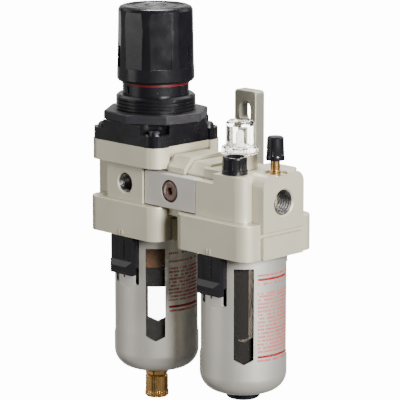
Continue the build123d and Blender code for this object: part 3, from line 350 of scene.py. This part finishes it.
def porous(name, rgb):
    """Sintered resin: round grains with dark pores."""
    material, nodes, links, shader = blank_material(name)
    place = nodes.new("ShaderNodeTexCoord")
    grains = nodes.new("ShaderNodeTexVoronoi")
    grains.inputs["Scale"].default_value = 1100.0
    links.new(place.outputs["Object"], grains.inputs["Vector"])
    cloudy = noise_at(nodes, links, 60.0, 4.0)
    base = ramp_between(nodes, links, cloudy, tinted(rgb, -0.25), tinted(rgb, 0.2))
    pores = ramp_between(nodes, links, grains.outputs["Distance"], WHITE, PORE, 0.35, 0.8)
    links.new(multiplied(nodes, links, base, pores, 0.8), shader.inputs["Base Color"])
    shader.inputs["Roughness"].default_value = 0.85
    bumped(nodes, links, shader, grains.outputs["Distance"], 0.12 * MM, 0.7)
    return material


def rubber(name, rgb):
    """Matt rubber with a dusty bloom."""
    material, nodes, links, shader = blank_material(name)
    cloudy = noise_at(nodes, links, 200.0, 5.0)
    links.new(ramp_between(nodes, links, cloudy, tinted(rgb, -0.2), tinted(rgb, 0.5)),
              shader.inputs["Base Color"])
    links.new(spread(nodes, links, cloudy, 0.6, 0.8), shader.inputs["Roughness"])
    bumped(nodes, links, shader, cloudy, 0.02 * MM, 0.4)
    return material


def see_through(name, tint, body, rough, least):
    """Clear moulded plastic: mostly open, with gloss that grows towards grazing angles."""
    material, nodes, links, shader = blank_material(name)
    shader.inputs["Base Color"].default_value = body + (1.0,)
    shader.inputs["IOR"].default_value = 1.58
    cloudy = noise_at(nodes, links, 150.0, 3.0)
    links.new(spread(nodes, links, cloudy, rough - 0.03, rough + 0.05), shader.inputs["Roughness"])
    bumped(nodes, links, shader, cloudy, 0.05 * MM, 0.25)
    open_part = nodes.new("ShaderNodeBsdfTransparent")
    open_part.inputs["Color"].default_value = tint + (1.0,)
    facing = nodes.new("ShaderNodeLayerWeight")
    facing.inputs["Blend"].default_value = 0.12
    share = nodes.new("ShaderNodeMapRange")
    share.inputs["To Min"].default_value = least
    share.inputs["To Max"].default_value = 0.9
    links.new(facing.outputs["Fresnel"], share.inputs["Value"])
    mixed_surface(
        nodes, links, share.outputs["Result"], open_part.outputs["BSDF"], shader.outputs["BSDF"])
    return material


def lens_plastic(name, tint):
    """Thick clear plastic that bends light; lamps shine through it onto what is inside."""
    material, nodes, links, shader = blank_material(name)
    nodes.remove(shader)
    glass = nodes.new("ShaderNodeBsdfGlass")
    glass.inputs["Color"].default_value = tint + (1.0,)
    glass.inputs["IOR"].default_value = 1.5
    cloudy = noise_at(nodes, links, 220.0, 3.0)
    links.new(spread(nodes, links, cloudy, 0.01, 0.07), glass.inputs["Roughness"])
    bumped(nodes, links, glass, cloudy, 0.06 * MM, 0.3)
    open_part = nodes.new("ShaderNodeBsdfTransparent")
    open_part.inputs["Color"].default_value = tint + (1.0,)
    ray = nodes.new("ShaderNodeLightPath")
    mixed_surface(
        nodes, links, ray.outputs["Is Shadow Ray"], glass.outputs["BSDF"], open_part.outputs["BSDF"])
    return material


FINISHES = {}


def finish(slot_name):
    """The material of a record slot or of a look, made once."""
    if slot_name not in FINISHES:
        tones = bpy.context.scene.air_set_colours
        makers = {
            "cast_paint": lambda: paint("casting_paint", tuple(tones.casting), 0.35, 0.38),
            "clamp_paint": lambda: paint("clamp_paint", tuple(tones.clamp), 0.35, 0.42),
            "bracket": lambda: paint("bracket_paint", tuple(tones.bracket), 0.75, 0.40),
            "dark_steel": lambda: machined("dark_steel", DARK_STEEL, 0.34),
            "guard_paint": lambda: paint(
                "guard_paint", tuple(tones.guard), 0.72, 0.36, 3200.0, 0.012 * MM),
            "black_plastic": lambda: moulded("black_plastic", tuple(tones.plastic), 0.22),
            "nut_plastic": lambda: moulded("nut_plastic", tuple(tones.nut), 0.42),
            "ring_red": lambda: moulded("lock_ring_red", tuple(tones.lock_ring), 0.38),
            "clear": lambda: see_through("clear_plastic", CLEAR_TINT, CLEAR_BODY, 0.06, 0.045),
            "smoky": lambda: see_through("smoky_plastic", SMOKY_TINT, SMOKY_BODY, 0.09, 0.12),
            "dome": lambda: lens_plastic("dome_plastic", DOME_TINT),
            "brass": lambda: machined("turned_brass", tuple(tones.brass), 0.27),
            "screw_bronze": lambda: machined("brown_steel", tuple(tones.bronze), 0.38, 0.85),
            "steel": lambda: machined("plated_steel", tuple(tones.steel), 0.3),
            "bore": lambda: machined("cut_aluminium", tuple(tones.bore), 0.3),
            "element": lambda: porous("filter_resin", tuple(tones.element)),
            "print": lambda: moulded("print_red", tuple(tones.print_red), 0.5),
            "print_pale": lambda: moulded("print_pale", tuple(tones.print_pale), 0.5),
            "seal_rubber": lambda: rubber("seal_rubber", RUBBER),
            "white_plastic": lambda: moulded("acetal", ACETAL, 0.5),
        }
        FINISHES[slot_name] = makers[slot_name]()
    return FINISHES[slot_name]


def slot_of(node):
    """The record's material slot of a CAD node."""
    rows = frame["record"]["subparts"]
    return next(row["material_slot"] for row in rows if row["node"] == node)


def body_named(node):
    """The moving body that a CAD node belongs to."""
    bodies = frame["record"]["behaviour"]["bodies"]
    return next(body for body, members in bodies.items() if node in members)


# ---------------------------------------------------------------------------
# Mesh helpers
# ---------------------------------------------------------------------------
def link(obj):
    """Put an object in the scene."""
    bpy.context.scene.collection.objects.link(obj)
    return obj


def plain_mesh(obj, name):
    """Evaluate an object with its modifiers and return a new object with the plain result."""
    depsgraph = bpy.context.evaluated_depsgraph_get()
    mesh = bpy.data.meshes.new_from_object(obj.evaluated_get(depsgraph))
    bpy.data.objects.remove(obj)
    mesh.name = name
    return link(bpy.data.objects.new(name, mesh))


def smooth(obj):
    """Smooth shading with sharp edges kept."""
    obj.data.shade_smooth()
    obj.data.set_sharp_from_angle(angle=SHARP_ANGLE)
    return obj


def even_faces(obj, name):
    """The same mesh with normals that keep its large faces flat."""
    weights = obj.modifiers.new("weights", "WEIGHTED_NORMAL")
    weights.keep_sharp = True
    weights.weight = FACE_WEIGHT
    return plain_mesh(obj, name)


def finished(node, edge, segments=2, look=None):
    """A merged copy of a CAD node with rounded edges and its finish, standing for the node."""
    source = frame["nodes"][node]
    mesh = source.data.copy()
    work = bmesh.new()
    work.from_mesh(mesh)
    bmesh.ops.remove_doubles(work, verts=work.verts, dist=MERGE_GAP)
    bmesh.ops.dissolve_limit(
        work, angle_limit=FLAT_ANGLE, verts=work.verts, edges=work.edges, delimit=set())
    work.to_mesh(mesh)
    work.free()
    mesh.materials.clear()
    raw = link(bpy.data.objects.new(node + "_raw", mesh))
    if edge > 0:
        bevel = raw.modifiers.new("edge", "BEVEL")
        bevel.width = edge
        bevel.segments = segments
        bevel.limit_method = "ANGLE"
        bevel.angle_limit = BEVEL_ANGLE
        bevel.use_clamp_overlap = True
        bevel.miter_outer = "MITER_ARC"
    piece = even_faces(smooth(plain_mesh(raw, "rounded_" + node)), "finished_" + node)
    slot_name = slot_of(node)
    piece.data.materials.append(finish(look or slot_name))
    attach(piece, body_named(node))
    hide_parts(node)


def dressed(node):
    """Give a CAD node its finish, unchanged in shape."""
    mesh = frame["nodes"][node].data
    mesh.materials.clear()
    mesh.materials.append(finish(slot_of(node)))


# ---------------------------------------------------------------------------
# Geometry node trees
# ---------------------------------------------------------------------------
def new_tree(name, sockets):
    """A geometry tree with named inputs: (tree, group input node, group output node)."""
    tree = bpy.data.node_groups.new(name, "GeometryNodeTree")
    tree.interface.new_socket("Geometry", in_out="INPUT", socket_type="NodeSocketGeometry")
    for label, kind, default in sockets:
        item = tree.interface.new_socket(label, in_out="INPUT", socket_type=kind)
        if default is not None:
            item.default_value = default
    tree.interface.new_socket("Geometry", in_out="OUTPUT", socket_type="NodeSocketGeometry")
    return tree, tree.nodes.new("NodeGroupInput"), tree.nodes.new("NodeGroupOutput")


def feed(tree, group_in, node, wiring):
    """Wire a tree's inputs into a node; wiring gives the input for each of the node's sockets."""
    for socket, label in wiring.items():
        tree.links.new(group_in.outputs[label], node.inputs[socket])


def position_parts(tree):
    """The X, Y and Z outputs of the position."""
    where = tree.nodes.new("GeometryNodeInputPosition")
    parts = tree.nodes.new("ShaderNodeSeparateXYZ")
    tree.links.new(where.outputs["Position"], parts.inputs["Vector"])
    return parts.outputs


def close_tree(tree, group_in, group_out, geometry):
    """End a tree in Realize Instances and Set Material."""
    realize = tree.nodes.new("GeometryNodeRealizeInstances")
    dress = tree.nodes.new("GeometryNodeSetMaterial")
    tree.links.new(geometry, realize.inputs["Geometry"])
    tree.links.new(realize.outputs["Geometry"], dress.inputs["Geometry"])
    tree.links.new(group_in.outputs["Material"], dress.inputs["Material"])
    tree.links.new(dress.outputs["Geometry"], group_out.inputs["Geometry"])
    return tree


def calc(tree, operation, first, second=None):
    """A Math node; an argument is a socket or a number."""
    node = tree.nodes.new("ShaderNodeMath")
    node.operation = operation
    for index, value in enumerate((first, second)):
        if value is None:
            continue
        if isinstance(value, (int, float)):
            node.inputs[index].default_value = value
        else:
            tree.links.new(value, node.inputs[index])
    return node.outputs[0]


def wound(tree, angle, radius, height):
    """The point at an angle, a radius and a height round Z."""
    point = tree.nodes.new("ShaderNodeCombineXYZ")
    for axis, turn in (("X", "COSINE"), ("Y", "SINE")):
        tree.links.new(calc(tree, "MULTIPLY", calc(tree, turn, angle), radius), point.inputs[axis])
    tree.links.new(height, point.inputs["Z"])
    return point.outputs["Vector"]


def grown(name, tree, values, body, slot_name, look=None):
    """Run a geometry tree with the given inputs and keep its result as a plain mesh."""
    holder = link(bpy.data.objects.new(name + "_holder", bpy.data.meshes.new(name + "_holder")))
    modifier = holder.modifiers.new("grow", "NODES")
    modifier.node_group = tree
    inputs = (item for item in tree.interface.items_tree if item.in_out == "INPUT")
    sockets = {item.name: item.identifier for item in inputs}
    for label, value in values.items():
        modifier[sockets[label]] = value
    modifier[sockets["Material"]] = finish(look or slot_name)
    piece = plain_mesh(holder, name)
    smooth(piece)
    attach(piece, body)


def thread_skin_tree():
    """The inside of a threaded hole: a sheet wound into a tube with a helical ridge."""
    tree, group_in, group_out = new_tree("thread_skin", [
        ("Radius", "NodeSocketFloat", 0.008), ("Depth", "NodeSocketFloat", 0.0009),
        ("Pitch", "NodeSocketFloat", 0.0013), ("Length", "NodeSocketFloat", 0.012),
        ("Steps Round", "NodeSocketInt", 97), ("Steps Along", "NodeSocketInt", 90),
        ("Turn", "NodeSocketVector", (0, 0, 0)), ("Place", "NodeSocketVector", (0, 0, 0)),
        ("Material", "NodeSocketMaterial", None),
    ])
    nodes, links = tree.nodes, tree.links
    sheet = nodes.new("GeometryNodeMeshGrid")
    sheet.inputs["Size X"].default_value = math.tau
    feed(tree, group_in, sheet,
         {"Size Y": "Length", "Vertices X": "Steps Round", "Vertices Y": "Steps Along"})
    # across the sheet becomes an angle, along it becomes depth
    parts = position_parts(tree)
    angle = parts["X"]
    along = calc(tree, "DIVIDE", parts["Y"], group_in.outputs["Pitch"])
    lead = calc(tree, "FRACT", calc(tree, "SUBTRACT", along, calc(tree, "DIVIDE", angle, math.tau)))
    ridge = calc(tree, "ABSOLUTE", calc(tree, "SUBTRACT", calc(tree, "MULTIPLY", lead, 2.0), 1.0))
    crest = calc(tree, "MULTIPLY", ridge, group_in.outputs["Depth"])
    radius = calc(tree, "SUBTRACT", group_in.outputs["Radius"], crest)
    bend = nodes.new("GeometryNodeSetPosition")
    links.new(sheet.outputs["Mesh"], bend.inputs["Geometry"])
    links.new(wound(tree, angle, radius, parts["Y"]), bend.inputs["Position"])
    seam = nodes.new("GeometryNodeMergeByDistance")
    seam.inputs["Distance"].default_value = 0.001 * MM
    links.new(bend.outputs["Geometry"], seam.inputs["Geometry"])
    inward = nodes.new("GeometryNodeFlipFaces")
    links.new(seam.outputs["Geometry"], inward.inputs["Mesh"])
    move = nodes.new("GeometryNodeTransform")
    links.new(inward.outputs["Mesh"], move.inputs["Geometry"])
    feed(tree, group_in, move, {"Rotation": "Turn", "Translation": "Place"})
    return close_tree(tree, group_in, group_out, move.outputs["Geometry"])


def printed_rows_tree():
    """Rows of short printed dashes wrapped round a guard."""
    tree, group_in, group_out = new_tree("printed_rows", [
        ("Rows", "NodeSocketInt", 12), ("Dashes", "NodeSocketInt", 9),
        ("Width", "NodeSocketFloat", 0.026), ("Height", "NodeSocketFloat", 0.03),
        ("Dash Length", "NodeSocketFloat", 0.002), ("Dash Height", "NodeSocketFloat", 0.0008),
        ("Dash Steps", "NodeSocketInt", 5), ("Shortest", "NodeSocketFloat", 0.5),
        ("Missing", "NodeSocketFloat", 0.15), ("Seed", "NodeSocketInt", 3),
        ("Radius", "NodeSocketFloat", 0.0293), ("Centre", "NodeSocketVector", (0, 0, 0)),
        ("Material", "NodeSocketMaterial", None),
    ])
    nodes, links = tree.nodes, tree.links
    rows = nodes.new("GeometryNodeMeshGrid")
    feed(tree, group_in, rows,
         {"Size X": "Width", "Size Y": "Height", "Vertices X": "Dashes", "Vertices Y": "Rows"})
    dash = nodes.new("GeometryNodeMeshGrid")
    feed(tree, group_in, dash,
         {"Size X": "Dash Length", "Size Y": "Dash Height", "Vertices X": "Dash Steps"})
    dash.inputs["Vertices Y"].default_value = 2
    chance = nodes.new("FunctionNodeRandomValue")
    chance.data_type = "FLOAT"
    links.new(group_in.outputs["Seed"], chance.inputs["Seed"])
    keep = calc(tree, "GREATER_THAN", chance.outputs["Value"], group_in.outputs["Missing"])
    size = nodes.new("FunctionNodeRandomValue")
    size.data_type = "FLOAT"
    links.new(group_in.outputs["Shortest"], size.inputs["Min"])
    size.inputs["Max"].default_value = 1.0
    links.new(group_in.outputs["Seed"], size.inputs["Seed"])
    stretch = nodes.new("ShaderNodeCombineXYZ")
    links.new(size.outputs["Value"], stretch.inputs["X"])
    stretch.inputs["Y"].default_value = 1.0
    stretch.inputs["Z"].default_value = 1.0
    place = nodes.new("GeometryNodeInstanceOnPoints")
    links.new(rows.outputs["Mesh"], place.inputs["Points"])
    links.new(dash.outputs["Mesh"], place.inputs["Instance"])
    links.new(keep, place.inputs["Selection"])
    links.new(stretch.outputs["Vector"], place.inputs["Scale"])
    flat = nodes.new("GeometryNodeRealizeInstances")
    links.new(place.outputs["Instances"], flat.inputs["Geometry"])
    # along the row becomes an angle, up the rows becomes height
    parts = position_parts(tree)
    angle = calc(tree, "DIVIDE", parts["X"], group_in.outputs["Radius"])
    shift = nodes.new("ShaderNodeVectorMath")
    shift.operation = "ADD"
    links.new(wound(tree, angle, group_in.outputs["Radius"], parts["Y"]), shift.inputs[0])
    links.new(group_in.outputs["Centre"], shift.inputs[1])
    bend = nodes.new("GeometryNodeSetPosition")
    links.new(flat.outputs["Geometry"], bend.inputs["Geometry"])
    links.new(shift.outputs["Vector"], bend.inputs["Position"])
    return close_tree(tree, group_in, group_out, bend.outputs["Geometry"])


# ---------------------------------------------------------------------------
# Operators, one for each piece or group of like pieces
# ---------------------------------------------------------------------------
class AIRSET_OT_stage(bpy.types.Operator):
    """Lay the pale floor, set the soft lights and place the camera"""
    bl_idname = "air_set.stage"
    bl_label = "Stage, lights and camera"

    def execute(self, context):
        scene = context.scene
        scene.world = self.studio()
        self.backdrop()
        for name, place, size, power in SOFTBOXES:
            self.softbox(name, place, size, power)
        camera = bpy.data.cameras.new("camera")
        camera.sensor_width = CAMERA_SENSOR
        camera.lens = CAMERA_LENS
        camera.clip_end = CAMERA_REACH
        view = link(bpy.data.objects.new("camera", camera))
        azimuth, elevation = math.radians(CAMERA_AZIMUTH), math.radians(CAMERA_ELEVATION)
        back = Vector((
            math.sin(azimuth) * math.cos(elevation),
            -math.cos(azimuth) * math.cos(elevation),
            math.sin(elevation)))
        view.location = CAMERA_AIM + back * CAMERA_DISTANCE
        view.rotation_euler = (-back).to_track_quat("-Z", "Y").to_euler()
        scene.camera = view
        return {"FINISHED"}

    def studio(self):
        """A dim room with soft bright cards behind, beside and in front of the object."""
        world = bpy.data.worlds.new("studio")
        world.use_nodes = True
        nodes, links = world.node_tree.nodes, world.node_tree.links
        place = nodes.new("ShaderNodeTexCoord")
        total = None
        for direction, start, full, strength in CARDS:
            aim = nodes.new("ShaderNodeVectorMath")
            aim.operation = "DOT_PRODUCT"
            aim.inputs[1].default_value = Vector(direction).normalized()
            links.new(place.outputs["Generated"], aim.inputs[0])
            card = nodes.new("ShaderNodeMapRange")
            card.interpolation_type = "SMOOTHSTEP"
            card.inputs["From Min"].default_value = start
            card.inputs["From Max"].default_value = full
            card.inputs["To Max"].default_value = strength
            links.new(aim.outputs["Value"], card.inputs["Value"])
            if total is None:
                total = card.outputs["Result"]
                continue
            add = nodes.new("ShaderNodeMath")
            links.new(total, add.inputs[0])
            links.new(card.outputs["Result"], add.inputs[1])
            total = add.outputs[0]
        room = nodes.new("ShaderNodeMath")
        room.inputs[1].default_value = ROOM_STRENGTH
        links.new(total, room.inputs[0])
        links.new(room.outputs[0], nodes["Background"].inputs["Strength"])
        nodes["Background"].inputs["Color"].default_value = ROOM_COLOUR
        return world

    def softbox(self, name, place, size, power):
        """A square area light aimed at the object's middle."""
        light = bpy.data.lights.new(name, "AREA")
        light.size = size
        light.energy = power
        lamp = link(bpy.data.objects.new(name, light))
        lamp.location = place
        aim = Vector((0.0, FILTER_AXIS.y, 0.0)) - Vector(place)
        lamp.rotation_euler = aim.to_track_quat("-Z", "Y").to_euler()

    def backdrop(self):
        """A pale floor and a white surround that only the camera sees."""
        floor = bmesh.new()
        bmesh.ops.create_circle(floor, cap_ends=True, cap_tris=False, segments=96, radius=FLOOR_RADIUS)
        bmesh.ops.translate(floor, vec=(0, 0, CAD_BOX[0].z - FLOOR_DROP), verts=floor.verts)
        self.add_stage("floor", floor)
        shell = bmesh.new()
        bmesh.ops.create_icosphere(shell, subdivisions=4, radius=SURROUND_RADIUS)
        bmesh.ops.reverse_faces(shell, faces=shell.faces)
        self.add_stage("surround", shell)

    def add_stage(self, name, work):
        """One stage mesh with a plain white glow."""
        mesh = bpy.data.meshes.new(name)
        work.to_mesh(mesh)
        work.free()
        obj = link(bpy.data.objects.new(name, mesh))
        material, nodes, links, shader = blank_material(name)
        nodes.remove(shader)
        shine = nodes.new("ShaderNodeEmission")
        shine.inputs["Color"].default_value = WHITE
        shine.inputs["Strength"].default_value = STAGE_GLOW
        links.new(shine.outputs["Emission"], nodes["Material Output"].inputs["Surface"])
        mesh.materials.append(material)
        obj.visible_shadow = False
        obj.visible_diffuse = False
        obj.visible_glossy = False


class AIRSET_OT_castings(bpy.types.Operator):
    """Round and paint the two die-cast bodies and the spacer between them"""
    bl_idname = "air_set.castings"
    bl_label = "Die-cast bodies"

    def execute(self, context):
        edge = context.scene.air_set_sizes.casting_edge
        for node in ("regulator_body", "lubricator_body", "spacer"):
            finished(node, edge)
        dressed("spacer_seals")
        return {"FINISHED"}


class AIRSET_OT_clamp(bpy.types.Operator):
    """Clamp plate, its socket screw and the wall bracket"""
    bl_idname = "air_set.clamp"
    bl_label = "Clamp and bracket"

    def execute(self, context):
        edge = context.scene.air_set_sizes.casting_edge
        finished("front_clamp", TURNED_EDGE)
        finished("wall_bracket", edge, look="bracket")
        finished("clamp_screw", TURNED_EDGE)
        finished("bracket_screw", TURNED_EDGE)
        return {"FINISHED"}


class AIRSET_OT_bonnet(bpy.types.Operator):
    """Bonnet, panel nut, cross-head screws and lock ring"""
    bl_idname = "air_set.bonnet"
    bl_label = "Bonnet and nut"

    def execute(self, context):
        edge = context.scene.air_set_sizes.plastic_edge
        finished("bonnet", edge)
        finished("panel_nut", edge)
        finished("bonnet_screws", FINE_EDGE, look="dark_steel")
        finished("lock_ring", FINE_EDGE)
        return {"FINISHED"}


class AIRSET_OT_knob(bpy.types.Operator):
    """Adjusting knob with its cap"""
    bl_idname = "air_set.knob"
    bl_label = "Knob"

    def execute(self, context):
        edge = context.scene.air_set_sizes.plastic_edge
        finished("adjusting_knob", edge, segments=3)
        finished("knob_cap", SMALL_EDGE)
        return {"FINISHED"}


class AIRSET_OT_ports(bpy.types.Operator):
    """Threads in the inlet, outlet and gauge ports"""
    bl_idname = "air_set.ports"
    bl_label = "Port threads"

    def execute(self, context):
        pitch = context.scene.air_set_sizes.port_pitch
        tree = thread_skin_tree()
        mounts = {mount["name"]: mount for mount in frame["record"]["mounts"]}
        for name in ("inlet_port", "outlet_port", "gauge_port"):
            mount = mounts[name]
            turn = Vector(mount["axis"]).to_track_quat("Z", "Y").to_euler()
            grown(name.replace("port", "thread"), tree, {
                "Radius": mount["dims"]["r_mm"] * MM - THREAD_GAP,
                "Length": mount["dims"]["length_mm"] * MM - THREAD_PLAIN,
                "Depth": RIDGE_SHARE * pitch, "Pitch": pitch,
                "Turn": tuple(turn), "Place": tuple(mount["pos_m"]),
            }, "units", "steel", look="bore")
        return {"FINISHED"}


class AIRSET_OT_guards(bpy.types.Operator):
    """Sheet metal guards and the latches that lock them"""
    bl_idname = "air_set.guards"
    bl_label = "Guards and latches"

    def execute(self, context):
        sizes = context.scene.air_set_sizes
        for unit in ("filter", "lubricator"):
            finished(unit + "_guard", sizes.metal_edge)
            finished(unit + "_latch", sizes.plastic_edge)
            dressed(unit + "_latch_spring")
        return {"FINISHED"}


class AIRSET_OT_bowls(bpy.types.Operator):
    """Clear and smoky bowls with their seals"""
    bl_idname = "air_set.bowls"
    bl_label = "Bowls"

    def execute(self, context):
        for unit in ("filter", "lubricator"):
            finished(unit + "_bowl", 0.0)
            dressed(unit + "_bowl_oring")
        return {"FINISHED"}


class AIRSET_OT_prints(bpy.types.Operator):
    """Level lines and rows of plain dashes printed on the guards"""
    bl_idname = "air_set.prints"
    bl_label = "Printed marks"

    def execute(self, context):
        sizes = context.scene.air_set_sizes
        tree = printed_rows_tree()
        for unit, axis in (("filter", FILTER_AXIS), ("lubricator", LUBRICATOR_AXIS)):
            for seed, row in enumerate(PRINTS[unit], FIRST_SEED):
                name, rows, dashes, dash, tall, height, block, missing = row
                whole = dashes == 1
                grown(f"{unit}_print_{name}", tree, {
                    "Rows": max(rows, 2), "Dashes": max(dashes, 2),
                    "Width": 0.0 if whole else sizes.print_width, "Height": block * MM,
                    "Dash Length": dash * MM, "Dash Height": tall * MM,
                    "Dash Steps": LINE_STEPS if whole else DASH_STEPS,
                    "Shortest": 1.0 if whole else SHORTEST_DASH,
                    "Missing": missing, "Seed": seed, "Radius": GUARD_RADIUS + PRINT_LIFT,
                    "Centre": (axis.x, axis.y, height * MM),
                }, unit + "_bowl", "ring_red", look="print" if whole else "print_pale")
        return {"FINISHED"}


class AIRSET_OT_drain(bpy.types.Operator):
    """Brass drain under the filter bowl and the plug under the other"""
    bl_idname = "air_set.drain"
    bl_label = "Drain and plug"

    def execute(self, context):
        finished("drain_body", TURNED_EDGE)
        finished("drain_knob", FINE_EDGE)
        finished("bottom_plug", SOFT_EDGE)
        return {"FINISHED"}


class AIRSET_OT_dome(bpy.types.Operator):
    """Clear sight dome, its seal and the drip nozzle inside"""
    bl_idname = "air_set.dome"
    bl_label = "Sight dome"

    def execute(self, context):
        finished("sight_dome", SMALL_EDGE, look="dome")
        finished("drip_nozzle", SMALL_EDGE, look="steel")
        dressed("dome_seal")
        return {"FINISHED"}


class AIRSET_OT_plugs(bpy.types.Operator):
    """Oil fill plug and relief valve"""
    bl_idname = "air_set.plugs"
    bl_label = "Fill plug and relief valve"

    def execute(self, context):
        finished("oil_fill_plug", TURNED_EDGE)
        finished("relief_cap", TURNED_EDGE)
        finished("relief_stem", FINE_EDGE)
        dressed("fill_plug_seal")
        return {"FINISHED"}


class AIRSET_OT_inner(bpy.types.Operator):
    """Filter element, springs, valve and the other inner pieces"""
    bl_idname = "air_set.inner"
    bl_label = "Inner pieces"

    def execute(self, context):
        finished("filter_element", SOFT_EDGE)
        finished("baffle", SOFT_EDGE)
        finished("siphon_guide", SOFT_EDGE)
        for node in (
            "valve_guide", "main_valve", "valve_spring", "adjusting_screw", "spring_seat",
            "regulating_spring", "diaphragm", "diaphragm_plate", "flow_damper", "siphon_tube",
            "siphon_strainer",
        ):
            dressed(node)
        return {"FINISHED"}


OPERATORS = (
    AIRSET_OT_stage, AIRSET_OT_castings, AIRSET_OT_clamp, AIRSET_OT_bonnet, AIRSET_OT_knob,
    AIRSET_OT_ports, AIRSET_OT_guards, AIRSET_OT_bowls, AIRSET_OT_prints, AIRSET_OT_drain,
    AIRSET_OT_dome, AIRSET_OT_plugs, AIRSET_OT_inner,
)


class AIRSET_PT_panel(bpy.types.Panel):
    """Sidebar panel that lists the steps"""
    bl_idname = "AIRSET_PT_panel"
    bl_label = "Air Set"
    bl_space_type = "VIEW_3D"
    bl_region_type = "UI"
    bl_category = "Air Set"

    def draw(self, context):
        for operator in OPERATORS:
            self.layout.operator(operator.bl_idname)
        for settings in (context.scene.air_set_sizes, context.scene.air_set_colours):
            for name in settings.bl_rna.properties.keys():
                if name not in ("rna_type", "name"):
                    self.layout.prop(settings, name)


CLASSES = (AirSetColours, AirSetSizes) + OPERATORS + (AIRSET_PT_panel,)


def register():
    """Register the classes and the settings."""
    for item in CLASSES:
        bpy.utils.register_class(item)
    bpy.types.Scene.air_set_colours = bpy.props.PointerProperty(type=AirSetColours)
    bpy.types.Scene.air_set_sizes = bpy.props.PointerProperty(type=AirSetSizes)


def unregister():
    """Undo register."""
    del bpy.types.Scene.air_set_sizes
    del bpy.types.Scene.air_set_colours
    for item in reversed(CLASSES):
        bpy.utils.unregister_class(item)


def main():
    """Build everything in order."""
    register()
    bpy.ops.air_set.stage()
    bpy.ops.air_set.castings()
    bpy.ops.air_set.clamp()
    bpy.ops.air_set.bonnet()
    bpy.ops.air_set.knob()
    bpy.ops.air_set.ports()
    bpy.ops.air_set.guards()
    bpy.ops.air_set.bowls()
    bpy.ops.air_set.prints()
    bpy.ops.air_set.drain()
    bpy.ops.air_set.dome()
    bpy.ops.air_set.plugs()
    bpy.ops.air_set.inner()


if __name__ == "__main__":
    main()
